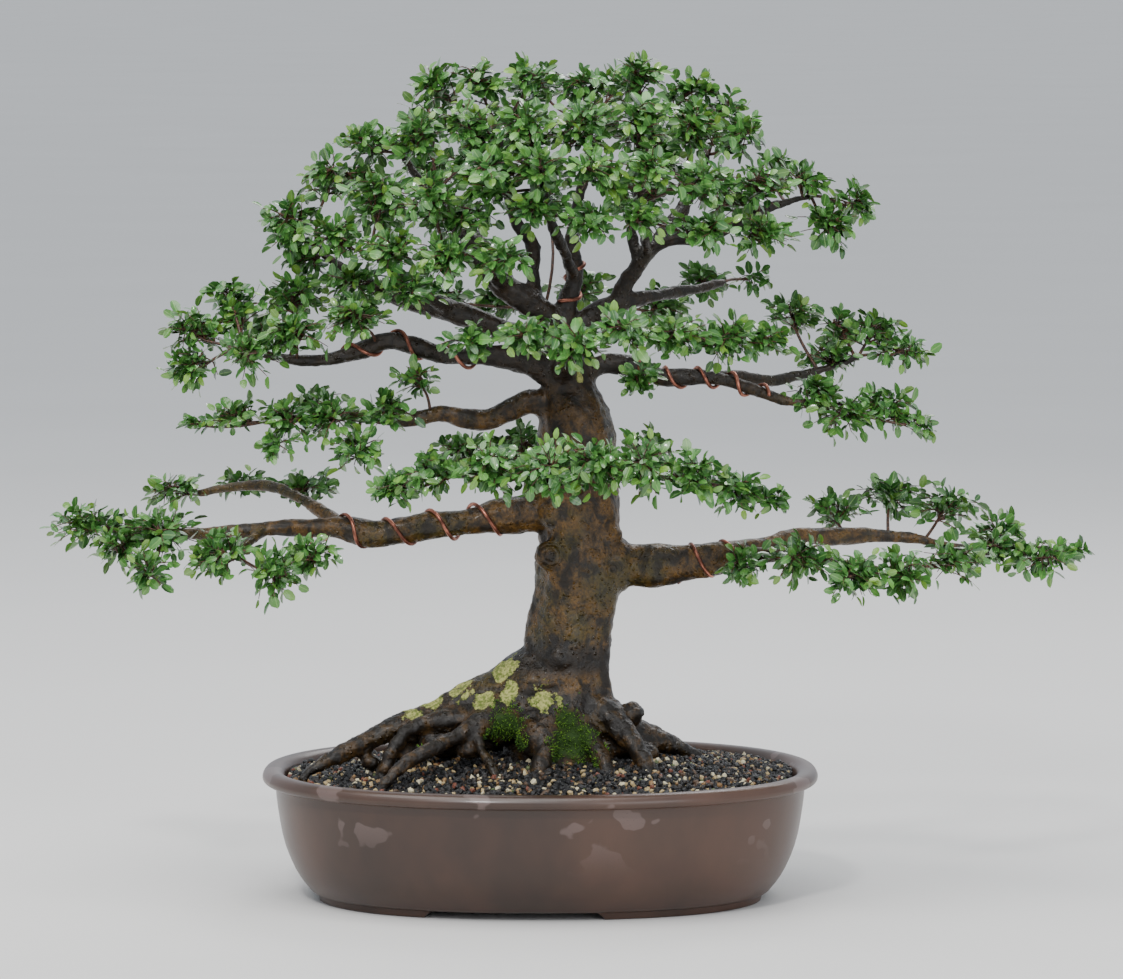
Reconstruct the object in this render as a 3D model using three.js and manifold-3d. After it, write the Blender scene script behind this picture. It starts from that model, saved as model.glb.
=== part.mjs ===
// A Chinese elm bonsai in its glazed oval pot, in millimetres with +Z up.
// The tree is one living piece of wood. Its leafy sprays sit on short spurs of that wood.
import * as THREE from "three";
import { mergeVertices } from "three/addons/utils/BufferGeometryUtils.js";
import Module from "manifold-3d";

const wasm = await Module();
wasm.setup();

// Pot
const POT_LENGTH = 460;
const POT_DEPTH = 338;
const POT_HEIGHT = 108;
const POT_ROUNDNESS = 2.25;
const POT_SIDES = 28;
const FLOOR_TOP = 17;
const FOOT_HEIGHT = 6;
const FRONT_FOOT_GAP = 136;
const FRONT_GAP_X = -21;
const END_FOOT_GAP = 60;
const DRAIN_RADIUS = 13;
const DRAIN_SIDES = 10;
const DRAIN_X = 95;
const SCREEN_SIDE = 44;
const SCREEN_THICKNESS = 1.6;
const SCREEN_HOLES = 2;
const SCREEN_HOLE_SHARE = 0.7;

// The pot's profile: [inset from the rim's outline, height]
const INNER_INSET = 60;
const POT_PROFILE = [
  [null, FOOT_HEIGHT], [INNER_INSET, FOOT_HEIGHT], [INNER_INSET, 0], [45, 0], [44, FOOT_HEIGHT],
  [40, 7], [28, 22], [17, 48], [11, 84], [11, 96], [3, 97], [0, 102], [4, POT_HEIGHT],
  [14, POT_HEIGHT], [20, 102], [24, 50], [46, FLOOR_TOP], [null, FLOOR_TOP],
];

// Soil
const SOIL_EDGE_HEIGHT = 103.5;
const SOIL_MOUND = 16;
const SOIL_MOUND_X = 15;
const SOIL_MOUND_LENGTH = 200;
const SOIL_MOUND_DEPTH = 140;
const SOIL_RELIEF = 1.4;
const SOIL_RINGS = 5;

// Clearances between separate pieces
const GAP = 0.35;
const LEAF_GAP = 0.6;
const REACH = 1.5;
const WOOD_CLEARANCE = 1.3 * GAP;

// The soil's side profile, just inside the pot's inner wall
const SOIL_SIDE_PROFILE = [[46 + GAP, FLOOR_TOP + GAP], [24 + GAP, 50]];

// The middle of the crown, which the leaves face away from
const CROWN_X = 20;
const SPRAY_SEED = 8000;

// Wire
const WIRE_RADIUS = 1.8;
const WIRE_STEPS_PER_TURN = 6;
const WIRE_FRAMES = 200;

// Wood: for limbs up to each thickness, the sides of their section and the length of one step
const LIMB_SIZES = [[8, 4, 38], [17, 5, 32], [40, 6, 28], [60, 11, 28]];

// Leaves. An outline point is [share of the leaf's length, share of its width to the stalk's side].
const LEAF_LENGTH = 17.5;
const LEAF_WIDTH = 9.8;
const LEAF_OUTLINE = [[0.45, 0.5], [1, 0.05], [0.5, -0.5]];
const END_LEAF_OUTLINE = [[0.45, 0.5], [1.05, 0], [0.5, -0.5]];
const LEAF_ANGLE = THREE.MathUtils.degToRad(60);
const LEAF_ANGLE_SPREAD = 0.2;
const SHORTEST_LEAF = 0.88;
const LEAF_LENGTH_SPREAD = 0.2;
const LEAF_SPACING = 12;
const LEAF_BASE = 0.45;
const LEAF_THICKNESS = 0.9;
const LEAST_THICKNESS = 0.6;
const SLIVER_AREA = 1;
const LEAF_ARCH = 0.018;
const LEAF_WAVE = 1.4;
const WAVES_PER_MM = 0.3;

// Stalks. A spray's first stalk is its stem, which the others fork from.
const STALK_HALF_WIDTH = 1.1;
const STALK_THICKNESS = 2;
const STEM_THICKNESS = 3.6;
const STEM_LEAD = 4;
const STEM_TANGENT = 0.4;
const STEM_END_ROOM = 2;
const STEM_BARE_ROOM = 3;
const FORK_SPACING = 6;
const FORK_TANGENT = 0.5;

// How a shoot runs through its clump, in shares of the clump's half width and of unit directions
const SMALL_CLUMP = 26.5;
const ROAM_HEIGHT = 0.6;
const RUN_SIDEWAYS = 0.6;
const RUN_RISE = 0.15;
const RUN_RISE_SPREAD = 0.4;
const RUN_TURN_SPREAD = 0.5;
const TIP_REACH = 0.85;
const BEND_REACH = 0.8;
const BEND_LIFT = 4;
const FACE_OUTWARD = 0.8;
const FACE_UP = 0.7;
const FACE_SPREAD = 0.5;
const PLACING_TRIES = 40;
const FIRST_LOOSENESS = 0.2;
const LOOSENESS_RANGE = 1.2;

// The tree was measured from the front. A measured place [x, height, depth] was seen from this eye,
// so what lies in front of the pot's middle (depth below 0) looks lower and larger than it is.
const EYE = new THREE.Vector3(18, -4800, 828);

function seen([x, height, depth]) {
  const onPlane = new THREE.Vector3(x, 0, height);
  return EYE.clone().lerp(onPlane, 1 + depth / -EYE.y);
}

// A repeatable random draw in [0, 1)
function randomFrom(seed) {
  let state = seed >>> 0;
  return () => {
    state = (state + 0x6d2b79f5) >>> 0;
    let mixed = Math.imul(state ^ (state >>> 15), 1 | state);
    mixed = (mixed + Math.imul(mixed ^ (mixed >>> 7), 61 | mixed)) ^ mixed;
    return ((mixed ^ (mixed >>> 14)) >>> 0) / 4294967296;
  };
}

// Limbs: each point is [x, height, depth, radius], measured from the front
const LIMBS = {
  trunk: [
    [18, 92, 0, 50], [18, 118, 0, 46], [19, 145, 0, 42], [21, 172, 0, 39.5], [22, 200, 0, 38],
    [24, 225, 0, 35.5], [29, 250, 0, 35], [32, 275, 0, 34], [33, 300, 0, 33], [33, 325, 0, 32],
    [32, 350, 0, 31], [30, 378, 0, 31.5], [28, 398, 0, 27], [24, 418, 2, 22.5], [21, 438, 4, 18],
    [18, 456, 6, 14], [16, 472, 7, 11],
  ],
  left_low: [
    [20, 320, 0, 15], [-10, 318, -2, 13.5], [-35, 316, -5, 13], [-60, 311, -8, 11], [-85, 309, -10, 10.5],
    [-115, 304, -10, 10], [-140, 301, -10, 9], [-162, 306, -10, 9], [-190, 306, -10, 7.5],
    [-220, 306, -10, 6.5],
    [-250, 303, -10, 5.5], [-280, 301, -10, 4.5], [-315, 303, -8, 3.5], [-345, 306, -5, 2.6],
  ],
  left_low_back: [
    [-158, 306, -8, 6], [-178, 318, 10, 5.5], [-200, 332, 30, 5], [-225, 341, 45, 4.5],
    [-252, 340, 55, 3.8],
    [-282, 335, 62, 2.6],
  ],
  left_low_front: [[-228, 305, -10, 5], [-242, 293, -30, 4], [-252, 284, -48, 2.8]],
  right_low: [
    [40, 280, 0, 18], [70, 276, -2, 17], [92, 275, -4, 15.5], [115, 277, -6, 13], [140, 280, -8, 11.5],
    [165, 286, -5, 9.5], [190, 292, 5, 8], [212, 299, 20, 7], [240, 299, 35, 6.5], [275, 300, 45, 5.2],
    [310, 297, 42, 4.2], [345, 290, 25, 3.4], [380, 285, 10, 2.6],
  ],
  right_low_front: [
    [158, 284, -6, 7], [185, 284, -25, 5.5], [215, 282, -45, 4.8], [250, 276, -58, 3.8],
    [283, 272, -60, 2.6],
  ],
  left_mid: [
    [12, 402, 0, 11], [-5, 411, -2, 8.5], [-25, 404, -4, 8], [-42, 396, -5, 7.5], [-62, 397, -6, 7.5],
    [-82, 401, -6, 7], [-105, 396, -8, 6], [-130, 397, -10, 5], [-165, 400, -13, 4],
    [-200, 398, -13, 3.2],
    [-228, 394, -12, 2.5],
  ],
  left_wired: [
    [18, 432, 0, 12], [-10, 443, -5, 9.5], [-40, 449, -8, 8], [-75, 448, -10, 7], [-105, 457, -12, 7],
    [-125, 461, -12, 6.5], [-150, 452, -12, 6], [-180, 445, -14, 5], [-215, 447, -15, 4],
    [-244, 455, -15, 2.8],
  ],
  left_leader: [
    [20, 430, 2, 13], [-5, 458, 4, 10], [-35, 472, 2, 9], [-75, 486, 0, 8.5], [-105, 494, 2, 7.2],
    [-135, 505, 6, 5.6], [-162, 520, 10, 4.2], [-184, 538, 12, 2.8],
  ],
  front_left: [[-72, 485, 0, 6], [-95, 500, -28, 4.6], [-120, 518, -52, 3.8], [-138, 534, -62, 2.6]],
  upper_left: [
    [19, 450, 5, 12], [12, 475, 2, 10.5], [-8, 492, -4, 10], [-30, 506, -8, 9], [-46, 522, -8, 7],
    [-60, 545, -4, 6], [-80, 570, 0, 5], [-100, 595, 5, 3.8], [-112, 612, 6, 2.6],
  ],
  inner_left: [
    [-2, 490, -2, 6.5], [-6, 518, 4, 5.4], [-6, 540, 8, 5], [-18, 556, 6, 4.6], [-25, 578, 2, 4],
    [-30, 605, 0, 3.4], [-34, 635, 0, 2.6],
  ],
  center_leader: [
    [16, 462, 6, 10], [22, 492, 4, 7], [29, 515, 4, 6], [26, 540, 10, 5.4], [30, 570, 14, 4.8],
    [38, 602, 15, 4], [42, 640, 14, 2.6],
  ],
  right_leader: [
    [19, 452, 6, 10], [40, 480, 8, 8], [62, 491, 8, 7.2], [88, 497, 18, 6], [112, 501, 38, 4.8],
    [140, 506, 62, 3.6], [152, 510, 74, 2.6],
  ],
  right_riser: [
    [62, 488, 8, 7], [69, 506, 5, 6.5], [80, 522, 0, 6], [90, 535, -5, 5.6], [108, 543, -10, 5],
    [135, 545, -13, 4.5], [160, 556, -10, 4], [190, 571, -2, 3.4], [222, 580, 0, 2.6],
  ],
  right_upper: [
    [82, 524, 0, 5], [76, 544, 5, 4.4], [76, 568, 10, 4], [84, 592, 10, 3.6], [90, 622, 8, 3],
    [90, 642, 6, 2.5],
  ],
  right_crown: [[106, 542, -9, 4.6], [118, 565, 0, 4], [128, 590, 5, 3.4], [138, 614, 6, 2.6]],
  right_wired: [
    [24, 424, 0, 11], [50, 441, 5, 8], [75, 440, 5, 7], [100, 431, 0, 6.5], [125, 431, -5, 6],
    [150, 429, -8, 5.5], [175, 421, -10, 5], [200, 412, -12, 4.2], [232, 408, -15, 2.8],
  ],
  right_back: [
    [132, 431, -4, 5], [165, 431, 10, 4.6], [190, 428, 25, 4.4], [215, 433, 40, 4], [245, 441, 50, 3.2],
    [262, 448, 52, 2.6],
  ],
  front_low: [
    [30, 345, -10, 12], [30, 352, -50, 10], [24, 352, -85, 8], [5, 350, -112, 6], [-30, 350, -122, 4.4],
    [-66, 351, -118, 2.8],
  ],
  front_low_right: [
    [26, 352, -78, 7], [50, 350, -110, 6], [85, 350, -120, 4.8], [115, 347, -118, 3.8],
    [142, 342, -110, 2.6],
  ],
  front_high: [
    [20, 432, -6, 10], [20, 446, -42, 7.4], [12, 455, -72, 5.6], [-8, 460, -86, 3.6],
    [-24, 462, -90, 2.6],
  ],
  front_high_right: [
    [20, 443, -36, 6], [45, 461, -70, 5], [80, 467, -86, 4.2], [110, 466, -90, 3.4], [134, 463, -88, 2.6],
  ],
  back_low: [
    [30, 345, 10, 12], [32, 352, 50, 10], [30, 358, 85, 8], [12, 362, 112, 5.6], [-18, 364, 126, 3.8],
    [-36, 365, 130, 2.6],
  ],
  back_low_right: [[31, 356, 78, 6], [55, 361, 110, 4.8], [78, 362, 126, 2.8]],
  back_high: [
    [20, 440, 12, 9], [26, 460, 50, 7.4], [30, 474, 80, 5.6], [18, 484, 104, 4], [4, 488, 114, 2.8],
  ],
  back_crown_left: [[-24, 502, -6, 6.4], [-38, 530, 22, 5.4], [-60, 556, 55, 4.6], [-84, 584, 88, 2.8]],
  back_crown_right: [[88, 532, -3, 5.4], [104, 555, 30, 4.6], [118, 576, 65, 3.8], [124, 592, 90, 2.8]],
  front_crown_left: [[-26, 503, -8, 6.4], [-44, 520, -38, 5], [-64, 531, -66, 4], [-80, 537, -80, 2.8]],
  front_crown_mid: [
    [28, 512, 4, 5.6], [20, 534, -26, 4.6], [10, 556, -55, 4], [4, 580, -72, 3.2], [2, 596, -78, 2.6],
  ],
  front_crown_right: [[88, 533, -4, 5.2], [86, 550, -35, 4.4], [82, 566, -62, 3.6], [82, 582, -78, 2.6]],
};

// Surface roots, in the same form as the limbs
const ROOTS = {
  root_left: [
    [12, 182, -4, 30], [-30, 168, -6, 20], [-62, 158, -10, 15], [-92, 150, -16, 11.5],
    [-120, 140, -24, 9],
    [-148, 126, -34, 7], [-172, 114, -44, 5], [-194, 100, -52, 3.5],
  ],
  root_left_lower: [
    [-20, 158, -20, 16], [-60, 147, -30, 9], [-92, 144, -34, 7], [-112, 135, -40, 6],
    [-128, 108, -50, 5],
  ],
  root_left_front: [
    [-10, 155, -22, 18], [-44, 146, -42, 9], [-66, 134, -58, 6.5], [-90, 122, -74, 5.5],
    [-114, 108, -88, 4.5],
    [-130, 90, -98, 3.5],
  ],
  root_front_left: [
    [-25, 152, -30, 10], [-50, 140, -48, 5.5], [-50, 124, -62, 4.5], [-42, 110, -76, 4],
    [-34, 92, -86, 3.5],
  ],
  root_front: [
    [6, 160, -26, 15], [6, 138, -44, 9], [3, 118, -58, 7.5], [-2, 100, -70, 6], [-4, 84, -78, 5],
  ],
  root_front_right: [[30, 150, -28, 14], [44, 128, -46, 7], [54, 108, -62, 5], [62, 88, -74, 4]],
  root_right_front: [
    [36, 160, -18, 18], [60, 145, -30, 10], [74, 130, -40, 7.5], [86, 112, -52, 6], [92, 92, -62, 5],
  ],
  root_right: [
    [40, 150, 0, 20], [66, 142, 0, 12], [88, 131, 4, 8.5], [110, 125, 10, 7], [134, 112, 18, 5],
  ],
  root_stub: [[48, 150, -8, 12], [66, 149, -12, 8], [77, 152, -14, 8.6], [82, 153, -15, 7]],
  root_back_right: [[36, 160, 20, 20], [60, 148, 40, 11], [84, 138, 60, 8], [104, 128, 80, 5]],
  root_back: [[15, 160, 24, 20], [6, 150, 46, 11], [0, 142, 68, 8], [-8, 132, 92, 5]],
  root_back_left: [[-2, 165, 18, 20], [-40, 155, 36, 12], [-72, 145, 54, 8], [-102, 132, 72, 5]],
};

// Sprays: the limb, the share of its length where the spray stands, and the clumps of leaves that
// the spray carries, each [x, height, depth, half width] measured from the front
const SPRAYS = {
  left_low_spray_1: ["left_low", 1, [[-380, 308, 5, 27], [-348, 294, -26, 26]]],
  left_low_spray_2: ["left_low", 0.86, [[-312, 292, -38, 27], [-318, 268, -60, 25]]],
  left_low_spray_3: ["left_low_front", 1, [[-266, 286, -66, 24], [-226, 262, -80, 24]]],
  left_low_spray_4: ["left_low", 0.62, [[-192, 283, -50, 27]]],
  left_low_spray_5: ["left_low_back", 1, [[-310, 336, 64, 24], [-276, 348, 84, 24]]],
  left_low_spray_6: ["left_low_back", 0.5, [[-182, 342, 54, 24], [-236, 332, 88, 24]]],
  right_low_spray_1: ["right_low_front", 0.25, [[168, 280, -42, 22], [208, 283, -68, 24]]],
  right_low_spray_2: ["right_low_front", 0.72, [[250, 266, -86, 27]]],
  right_low_spray_3: ["right_low_front", 1, [[306, 264, -70, 27]]],
  right_low_spray_4: ["right_low", 1, [[424, 284, -4, 24], [394, 276, -24, 24]]],
  right_low_spray_5: ["right_low", 0.88, [[352, 270, -14, 25], [378, 304, 30, 26]]],
  right_low_spray_6: ["right_low", 0.62, [[244, 322, 82, 24]]],
  right_low_spray_7: ["right_low", 0.77, [[298, 335, 84, 24], [342, 325, 64, 24]]],
  front_low_spray_1: ["front_low", 1, [[-120, 340, -112, 24], [-86, 366, -106, 26]]],
  front_low_spray_2: ["front_low", 0.62, [[-44, 354, -150, 26], [2, 344, -150, 26], [8, 376, -126, 26]]],
  front_low_spray_3: [
    "front_low_right", 0.42, [[50, 350, -152, 28], [94, 344, -146, 26], [84, 376, -118, 26]],
  ],
  front_low_spray_4: ["front_low_right", 0.92, [[136, 352, -122, 26], [174, 333, -106, 26]]],
  left_mid_spray_1: ["left_mid", 1, [[-266, 396, -4, 25], [-234, 400, -34, 24]]],
  left_mid_spray_2: ["left_mid", 0.84, [[-192, 410, -20, 27], [-204, 376, -40, 26]]],
  left_mid_spray_3: ["left_mid", 0.62, [[-150, 408, -28, 27], [-134, 374, -48, 24]]],
  left_upper_spray_1: ["left_wired", 1, [[-287, 444, -18, 24], [-268, 472, 4, 26], [-262, 500, 20, 24]]],
  left_upper_spray_2: ["left_wired", 0.84, [[-240, 436, -48, 24], [-218, 464, -46, 26]]],
  left_upper_spray_3: ["left_wired", 0.7, [[-176, 476, -44, 27], [-214, 494, 16, 27]]],
  left_upper_spray_4: ["left_wired", 0.5, [[-150, 482, 46, 24]]],
  front_high_spray_1: ["front_high", 1, [[-52, 466, -98, 24], [-16, 454, -114, 24]]],
  front_high_spray_2: ["front_high_right", 0.55, [[28, 460, -114, 26], [80, 475, -106, 28]]],
  front_high_spray_3: ["front_high_right", 1, [[132, 452, -100, 25], [168, 460, -86, 26]]],
  right_upper_spray_1: ["right_wired", 1, [[304, 394, -18, 25], [266, 414, -26, 26]]],
  right_upper_spray_2: ["right_wired", 0.86, [[232, 404, -42, 26]]],
  right_upper_spray_3: ["right_back", 1, [[294, 453, 40, 28], [262, 470, 74, 24]]],
  right_upper_spray_4: ["right_back", 0.6, [[212, 486, 72, 24]]],
  crown_left_spray_1: ["left_leader", 1, [[-208, 560, 4, 25], [-200, 522, 16, 26]]],
  crown_left_spray_2: ["front_left", 1, [[-162, 556, -64, 27], [-124, 532, -88, 28]]],
  crown_left_spray_3: ["front_crown_left", 1, [[-78, 541, -108, 28], [-34, 530, -98, 26]]],
  crown_left_spray_4: ["upper_left", 1, [[-140, 622, 12, 28], [-98, 648, 10, 26], [-164, 600, 20, 25]]],
  crown_left_spray_5: ["upper_left", 0.76, [[-124, 584, -38, 28], [-78, 604, -52, 28]]],
  crown_top_spray_1: ["inner_left", 1, [[-62, 674, 10, 27], [-22, 666, -14, 27]]],
  crown_top_spray_2: ["center_leader", 1, [[22, 672, -2, 27], [58, 676, 22, 26]]],
  crown_top_spray_3: ["right_upper", 1, [[92, 674, 2, 26], [96, 640, -34, 26]]],
  crown_front_spray_1: ["front_crown_mid", 1, [[-24, 618, -86, 27], [28, 622, -88, 27]]],
  crown_front_spray_2: ["front_crown_mid", 0.5, [[-20, 576, -98, 25], [32, 566, -100, 26]]],
  crown_right_spray_1: ["right_crown", 1, [[132, 652, 8, 26], [164, 626, 6, 26]]],
  crown_right_spray_2: ["front_crown_right", 1, [[76, 590, -104, 26], [116, 602, -78, 26]]],
  crown_right_spray_3: ["right_riser", 0.6, [[150, 560, -54, 26], [192, 546, -42, 24]]],
  crown_right_spray_4: ["right_riser", 1, [[254, 562, -6, 25], [222, 600, 4, 25]]],
  back_low_spray: ["back_low", 1, [[-62, 370, 142, 24], [-14, 376, 158, 24]]],
  back_low_right_spray: ["back_low_right", 1, [[88, 370, 148, 24]]],
  back_high_spray: ["back_high", 1, [[-30, 494, 132, 24], [100, 486, 130, 24]]],
  back_crown_left_spray: ["back_crown_left", 1, [[-130, 566, 100, 24], [-84, 604, 120, 24]]],
  back_crown_right_spray: ["back_crown_right", 1, [[160, 574, 96, 24], [96, 616, 120, 24]]],
};

// Wires: the limb, the shares of its length where the wire starts and ends, its turns and its first angle
const WIRES = {
  wire_left_low: ["left_low", 0.11, 0.55, 4.4, 0],
  wire_right_low: ["right_low", 0.2, 0.33, 1.7, 1.2],
  wire_left_upper: ["left_wired", 0.24, 0.7, 3.1, 0.9],
  wire_right_upper: ["right_wired", 0.26, 0.8, 4.3, 3],
  wire_center: ["center_leader", 0.17, 0.4, 1.8, 1.5],
};

// A closed geometry as a solid that can be joined and cut
function solidFrom(geometry) {
  geometry.deleteAttribute("normal");
  geometry.deleteAttribute("uv");
  const merged = mergeVertices(geometry, 1e-3);
  const corners = [];
  for (let i = 0; i < merged.index.count; i += 3) {
    const [a, b, c] = [0, 1, 2].map((step) => merged.index.getX(i + step));
    if (a !== b && b !== c && c !== a) {
      corners.push(a, b, c);
    }
  }
  return new wasm.Manifold(new wasm.Mesh({
    numProp: 3,
    vertProperties: new Float32Array(merged.attributes.position.array),
    triVerts: new Uint32Array(corners),
  }));
}

function joined(solids) {
  return solids.reduce((whole, solid) => whole.add(solid));
}

// The largest body of a solid: a loose scrap left by a cut is dropped
function mainBody(solid) {
  const bodies = solid.decompose();
  return bodies.reduce((best, body) => (body.volume() > best.volume() ? body : best));
}

// A cylinder whose height follows a curve, with a radius for each share of the curve's length.
// A grown tube also reaches further at both ends.
function tube(curve, radiusAt, sides, steps, grow = 0) {
  const frames = curve.computeFrenetFrames(steps, false);
  const geometry = new THREE.CylinderGeometry(1, 1, 1, sides, steps);
  const position = geometry.attributes.position;
  for (let i = 0; i < position.count; i++) {
    const share = position.getY(i) + 0.5;
    const ring = Math.round(share * steps);
    const radius = radiusAt(share) + grow;
    const point = curve.getPointAt(share);
    point.addScaledVector(frames.normals[ring], position.getX(i) * radius);
    point.addScaledVector(frames.binormals[ring], -position.getZ(i) * radius);
    if (ring === 0 || ring === steps) {
      point.addScaledVector(frames.tangents[ring], ring === 0 ? -grow : grow);
    }
    position.setXYZ(i, point.x, point.y, point.z);
  }
  return solidFrom(geometry);
}

// A limb or root: its curve, and its radius at each share of the curve's length
function limbPath(points) {
  const curve = new THREE.CatmullRomCurve3(points.map(seen), false, "centripetal");
  const radiusAt = (share) => {
    const place = curve.getUtoTmapping(share) * (points.length - 1);
    const index = Math.min(Math.floor(place), points.length - 2);
    return THREE.MathUtils.lerp(points[index][3], points[index + 1][3], place - index);
  };
  return { curve, radiusAt };
}

function limbSolid(points, grow = 0) {
  const { curve, radiusAt } = limbPath(points);
  const size = LIMB_SIZES.find(([thickest]) => points[0][3] <= thickest);
  const steps = Math.max(2, Math.round(curve.getLength() / size[2]));
  return tube(curve, radiusAt, size[1], steps, grow);
}

const wood = [...Object.values(LIMBS), ...Object.values(ROOTS)];
const treeWood = mainBody(joined(wood.map((points) => limbSolid(points))));
const treeClearance = joined(wood.map((points) => limbSolid(points, WOOD_CLEARANCE)));

// A wire: a helix laid round a limb, clear of its faces
function wireSolid([limb, from, to, turns, firstAngle]) {
  const { curve, radiusAt } = limbPath(LIMBS[limb]);
  const steps = Math.round(turns * WIRE_STEPS_PER_TURN);
  const frames = curve.computeFrenetFrames(WIRE_FRAMES, false);
  const flats = Math.cos(Math.PI / WIRE_STEPS_PER_TURN);
  const places = [];
  for (let i = 0; i <= steps; i++) {
    const share = THREE.MathUtils.lerp(from, to, i / steps);
    const ring = Math.round(share * WIRE_FRAMES);
    const angle = firstAngle + (i / WIRE_STEPS_PER_TURN) * 2 * Math.PI;
    const reach = (radiusAt(share) + WIRE_RADIUS + 2 * GAP) / flats;
    const place = curve.getPointAt(share);
    place.addScaledVector(frames.normals[ring], Math.cos(angle) * reach);
    place.addScaledVector(frames.binormals[ring], Math.sin(angle) * reach);
    places.push(place);
  }
  const helix = new THREE.CatmullRomCurve3(places, false, "centripetal");
  return tube(helix, () => WIRE_RADIUS, 4, steps);
}

// The outline of a leafy shoot laid flat. u runs along its rib and v across it. The bare stalk may
// bend at its knee. The leaves stand in two ranks, cut to the rib, and one leaf ends the shoot.
function shootOutline(knee, stalk, leavesLeft, leavesRight, random) {
  const half = STALK_HALF_WIDTH;
  const rank = (count, sideways, offset) => {
    const points = [];
    for (let i = 0; i < count; i++) {
      const base = stalk + offset + i * LEAF_SPACING;
      const angle = LEAF_ANGLE + (random() - 0.5) * LEAF_ANGLE_SPREAD;
      const length = LEAF_LENGTH * (SHORTEST_LEAF + LEAF_LENGTH_SPREAD * random());
      const [along, across] = [Math.cos(angle), Math.sin(angle)];
      const leaf = LEAF_OUTLINE.map(([reach, width]) => [
        base + along * reach * length - across * width * LEAF_WIDTH,
        half + across * reach * length + along * width * LEAF_WIDTH,
      ]);
      const valley = i === 0 ? base - 2 * half : base - LEAF_BASE * LEAF_SPACING;
      points.push([valley, half], ...leaf);
    }
    points.push([stalk + offset + (count - LEAF_BASE) * LEAF_SPACING, half]);
    return points.map(([u, v]) => [u, v * sideways]);
  };
  const tip = stalk + Math.max(leavesLeft, leavesRight + 0.5) * LEAF_SPACING - 2 * half;
  const end = END_LEAF_OUTLINE.map(([reach, width]) => [
    tip + reach * LEAF_LENGTH,
    width * LEAF_WIDTH,
  ]);
  const left = rank(leavesLeft, 1, 0);
  const right = rank(leavesRight, -1, 0.5 * LEAF_SPACING);
  return [[0, half], [knee, half], ...left, ...end, ...right.reverse(), [knee, -half], [0, -half]];
}

// Whether an edge of a closed outline in space passes through a triangle that it doesn't touch
function crossesItself(places, triangles) {
  return places.some((from, i) => {
    const next = (i + 1) % places.length;
    const edge = places[next].clone().sub(from);
    const ray = new THREE.Ray(from, edge.clone().normalize());
    return triangles.some((triangle) => {
      const [a, b, c] = triangle.map((corner) => places[corner]);
      const touches = triangle.includes(i) || triangle.includes(next);
      const hit = touches ? null : ray.intersectTriangle(a, b, c, false, new THREE.Vector3());
      return hit !== null && hit.distanceTo(from) < edge.length();
    });
  });
}

// A thin blade: a flat outline carried into space, with the same triangles on both faces.
// Its stalk, if it has one, is the quad between the outline's first two and last two points.
// thinnest is the blade's least thickness, measured square to its larger triangles, and 0 if the
// blade passes through itself.
function bladeSolid(outline, carry, hasStalk) {
  const flat = outline.map(([u, v]) => new THREE.Vector2(u, v));
  const places = [1, -1].flatMap((side) => outline.map(([u, v]) => carry(u, v, side)));
  const count = outline.length;
  const skip = hasStalk ? 1 : 0;
  const spread = flat.slice(skip, count - skip);
  const triangles = THREE.ShapeUtils.triangulateShape(spread, []);
  const faces = triangles.map((triangle) => triangle.map((i) => i + skip));
  if (hasStalk) {
    faces.push([0, 1, count - 2], [0, count - 2, count - 1]);
  }
  const corners = [];
  let thinnest = Infinity;
  for (const face of faces) {
    const turn = THREE.ShapeUtils.area([flat[face[0]], flat[face[1]], flat[face[2]]]) > 0;
    const [a, first, second] = turn ? face : [face[0], face[2], face[1]];
    const top = new THREE.Triangle(places[a], places[first], places[second]);
    if (top.getArea() > SLIVER_AREA) {
      const square = top.getNormal(new THREE.Vector3());
      const depths = face.map((i) => places[i].clone().sub(places[i + count]).dot(square));
      thinnest = Math.min(thinnest, ...depths);
    }
    corners.push(a, first, second, a + count, second + count, first + count);
  }
  for (let i = 0; i < count; i++) {
    const next = (i + 1) % count;
    corners.push(i, next, next + count, i, next + count, i + count);
  }
  const geometry = new THREE.BufferGeometry().setFromPoints(places);
  geometry.setIndex(corners);
  const crossed = crossesItself(places.slice(0, count), faces);
  return { solid: solidFrom(geometry), thinnest: crossed ? 0 : thinnest };
}

const UP = new THREE.Vector3(0, 0, 1);

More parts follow.
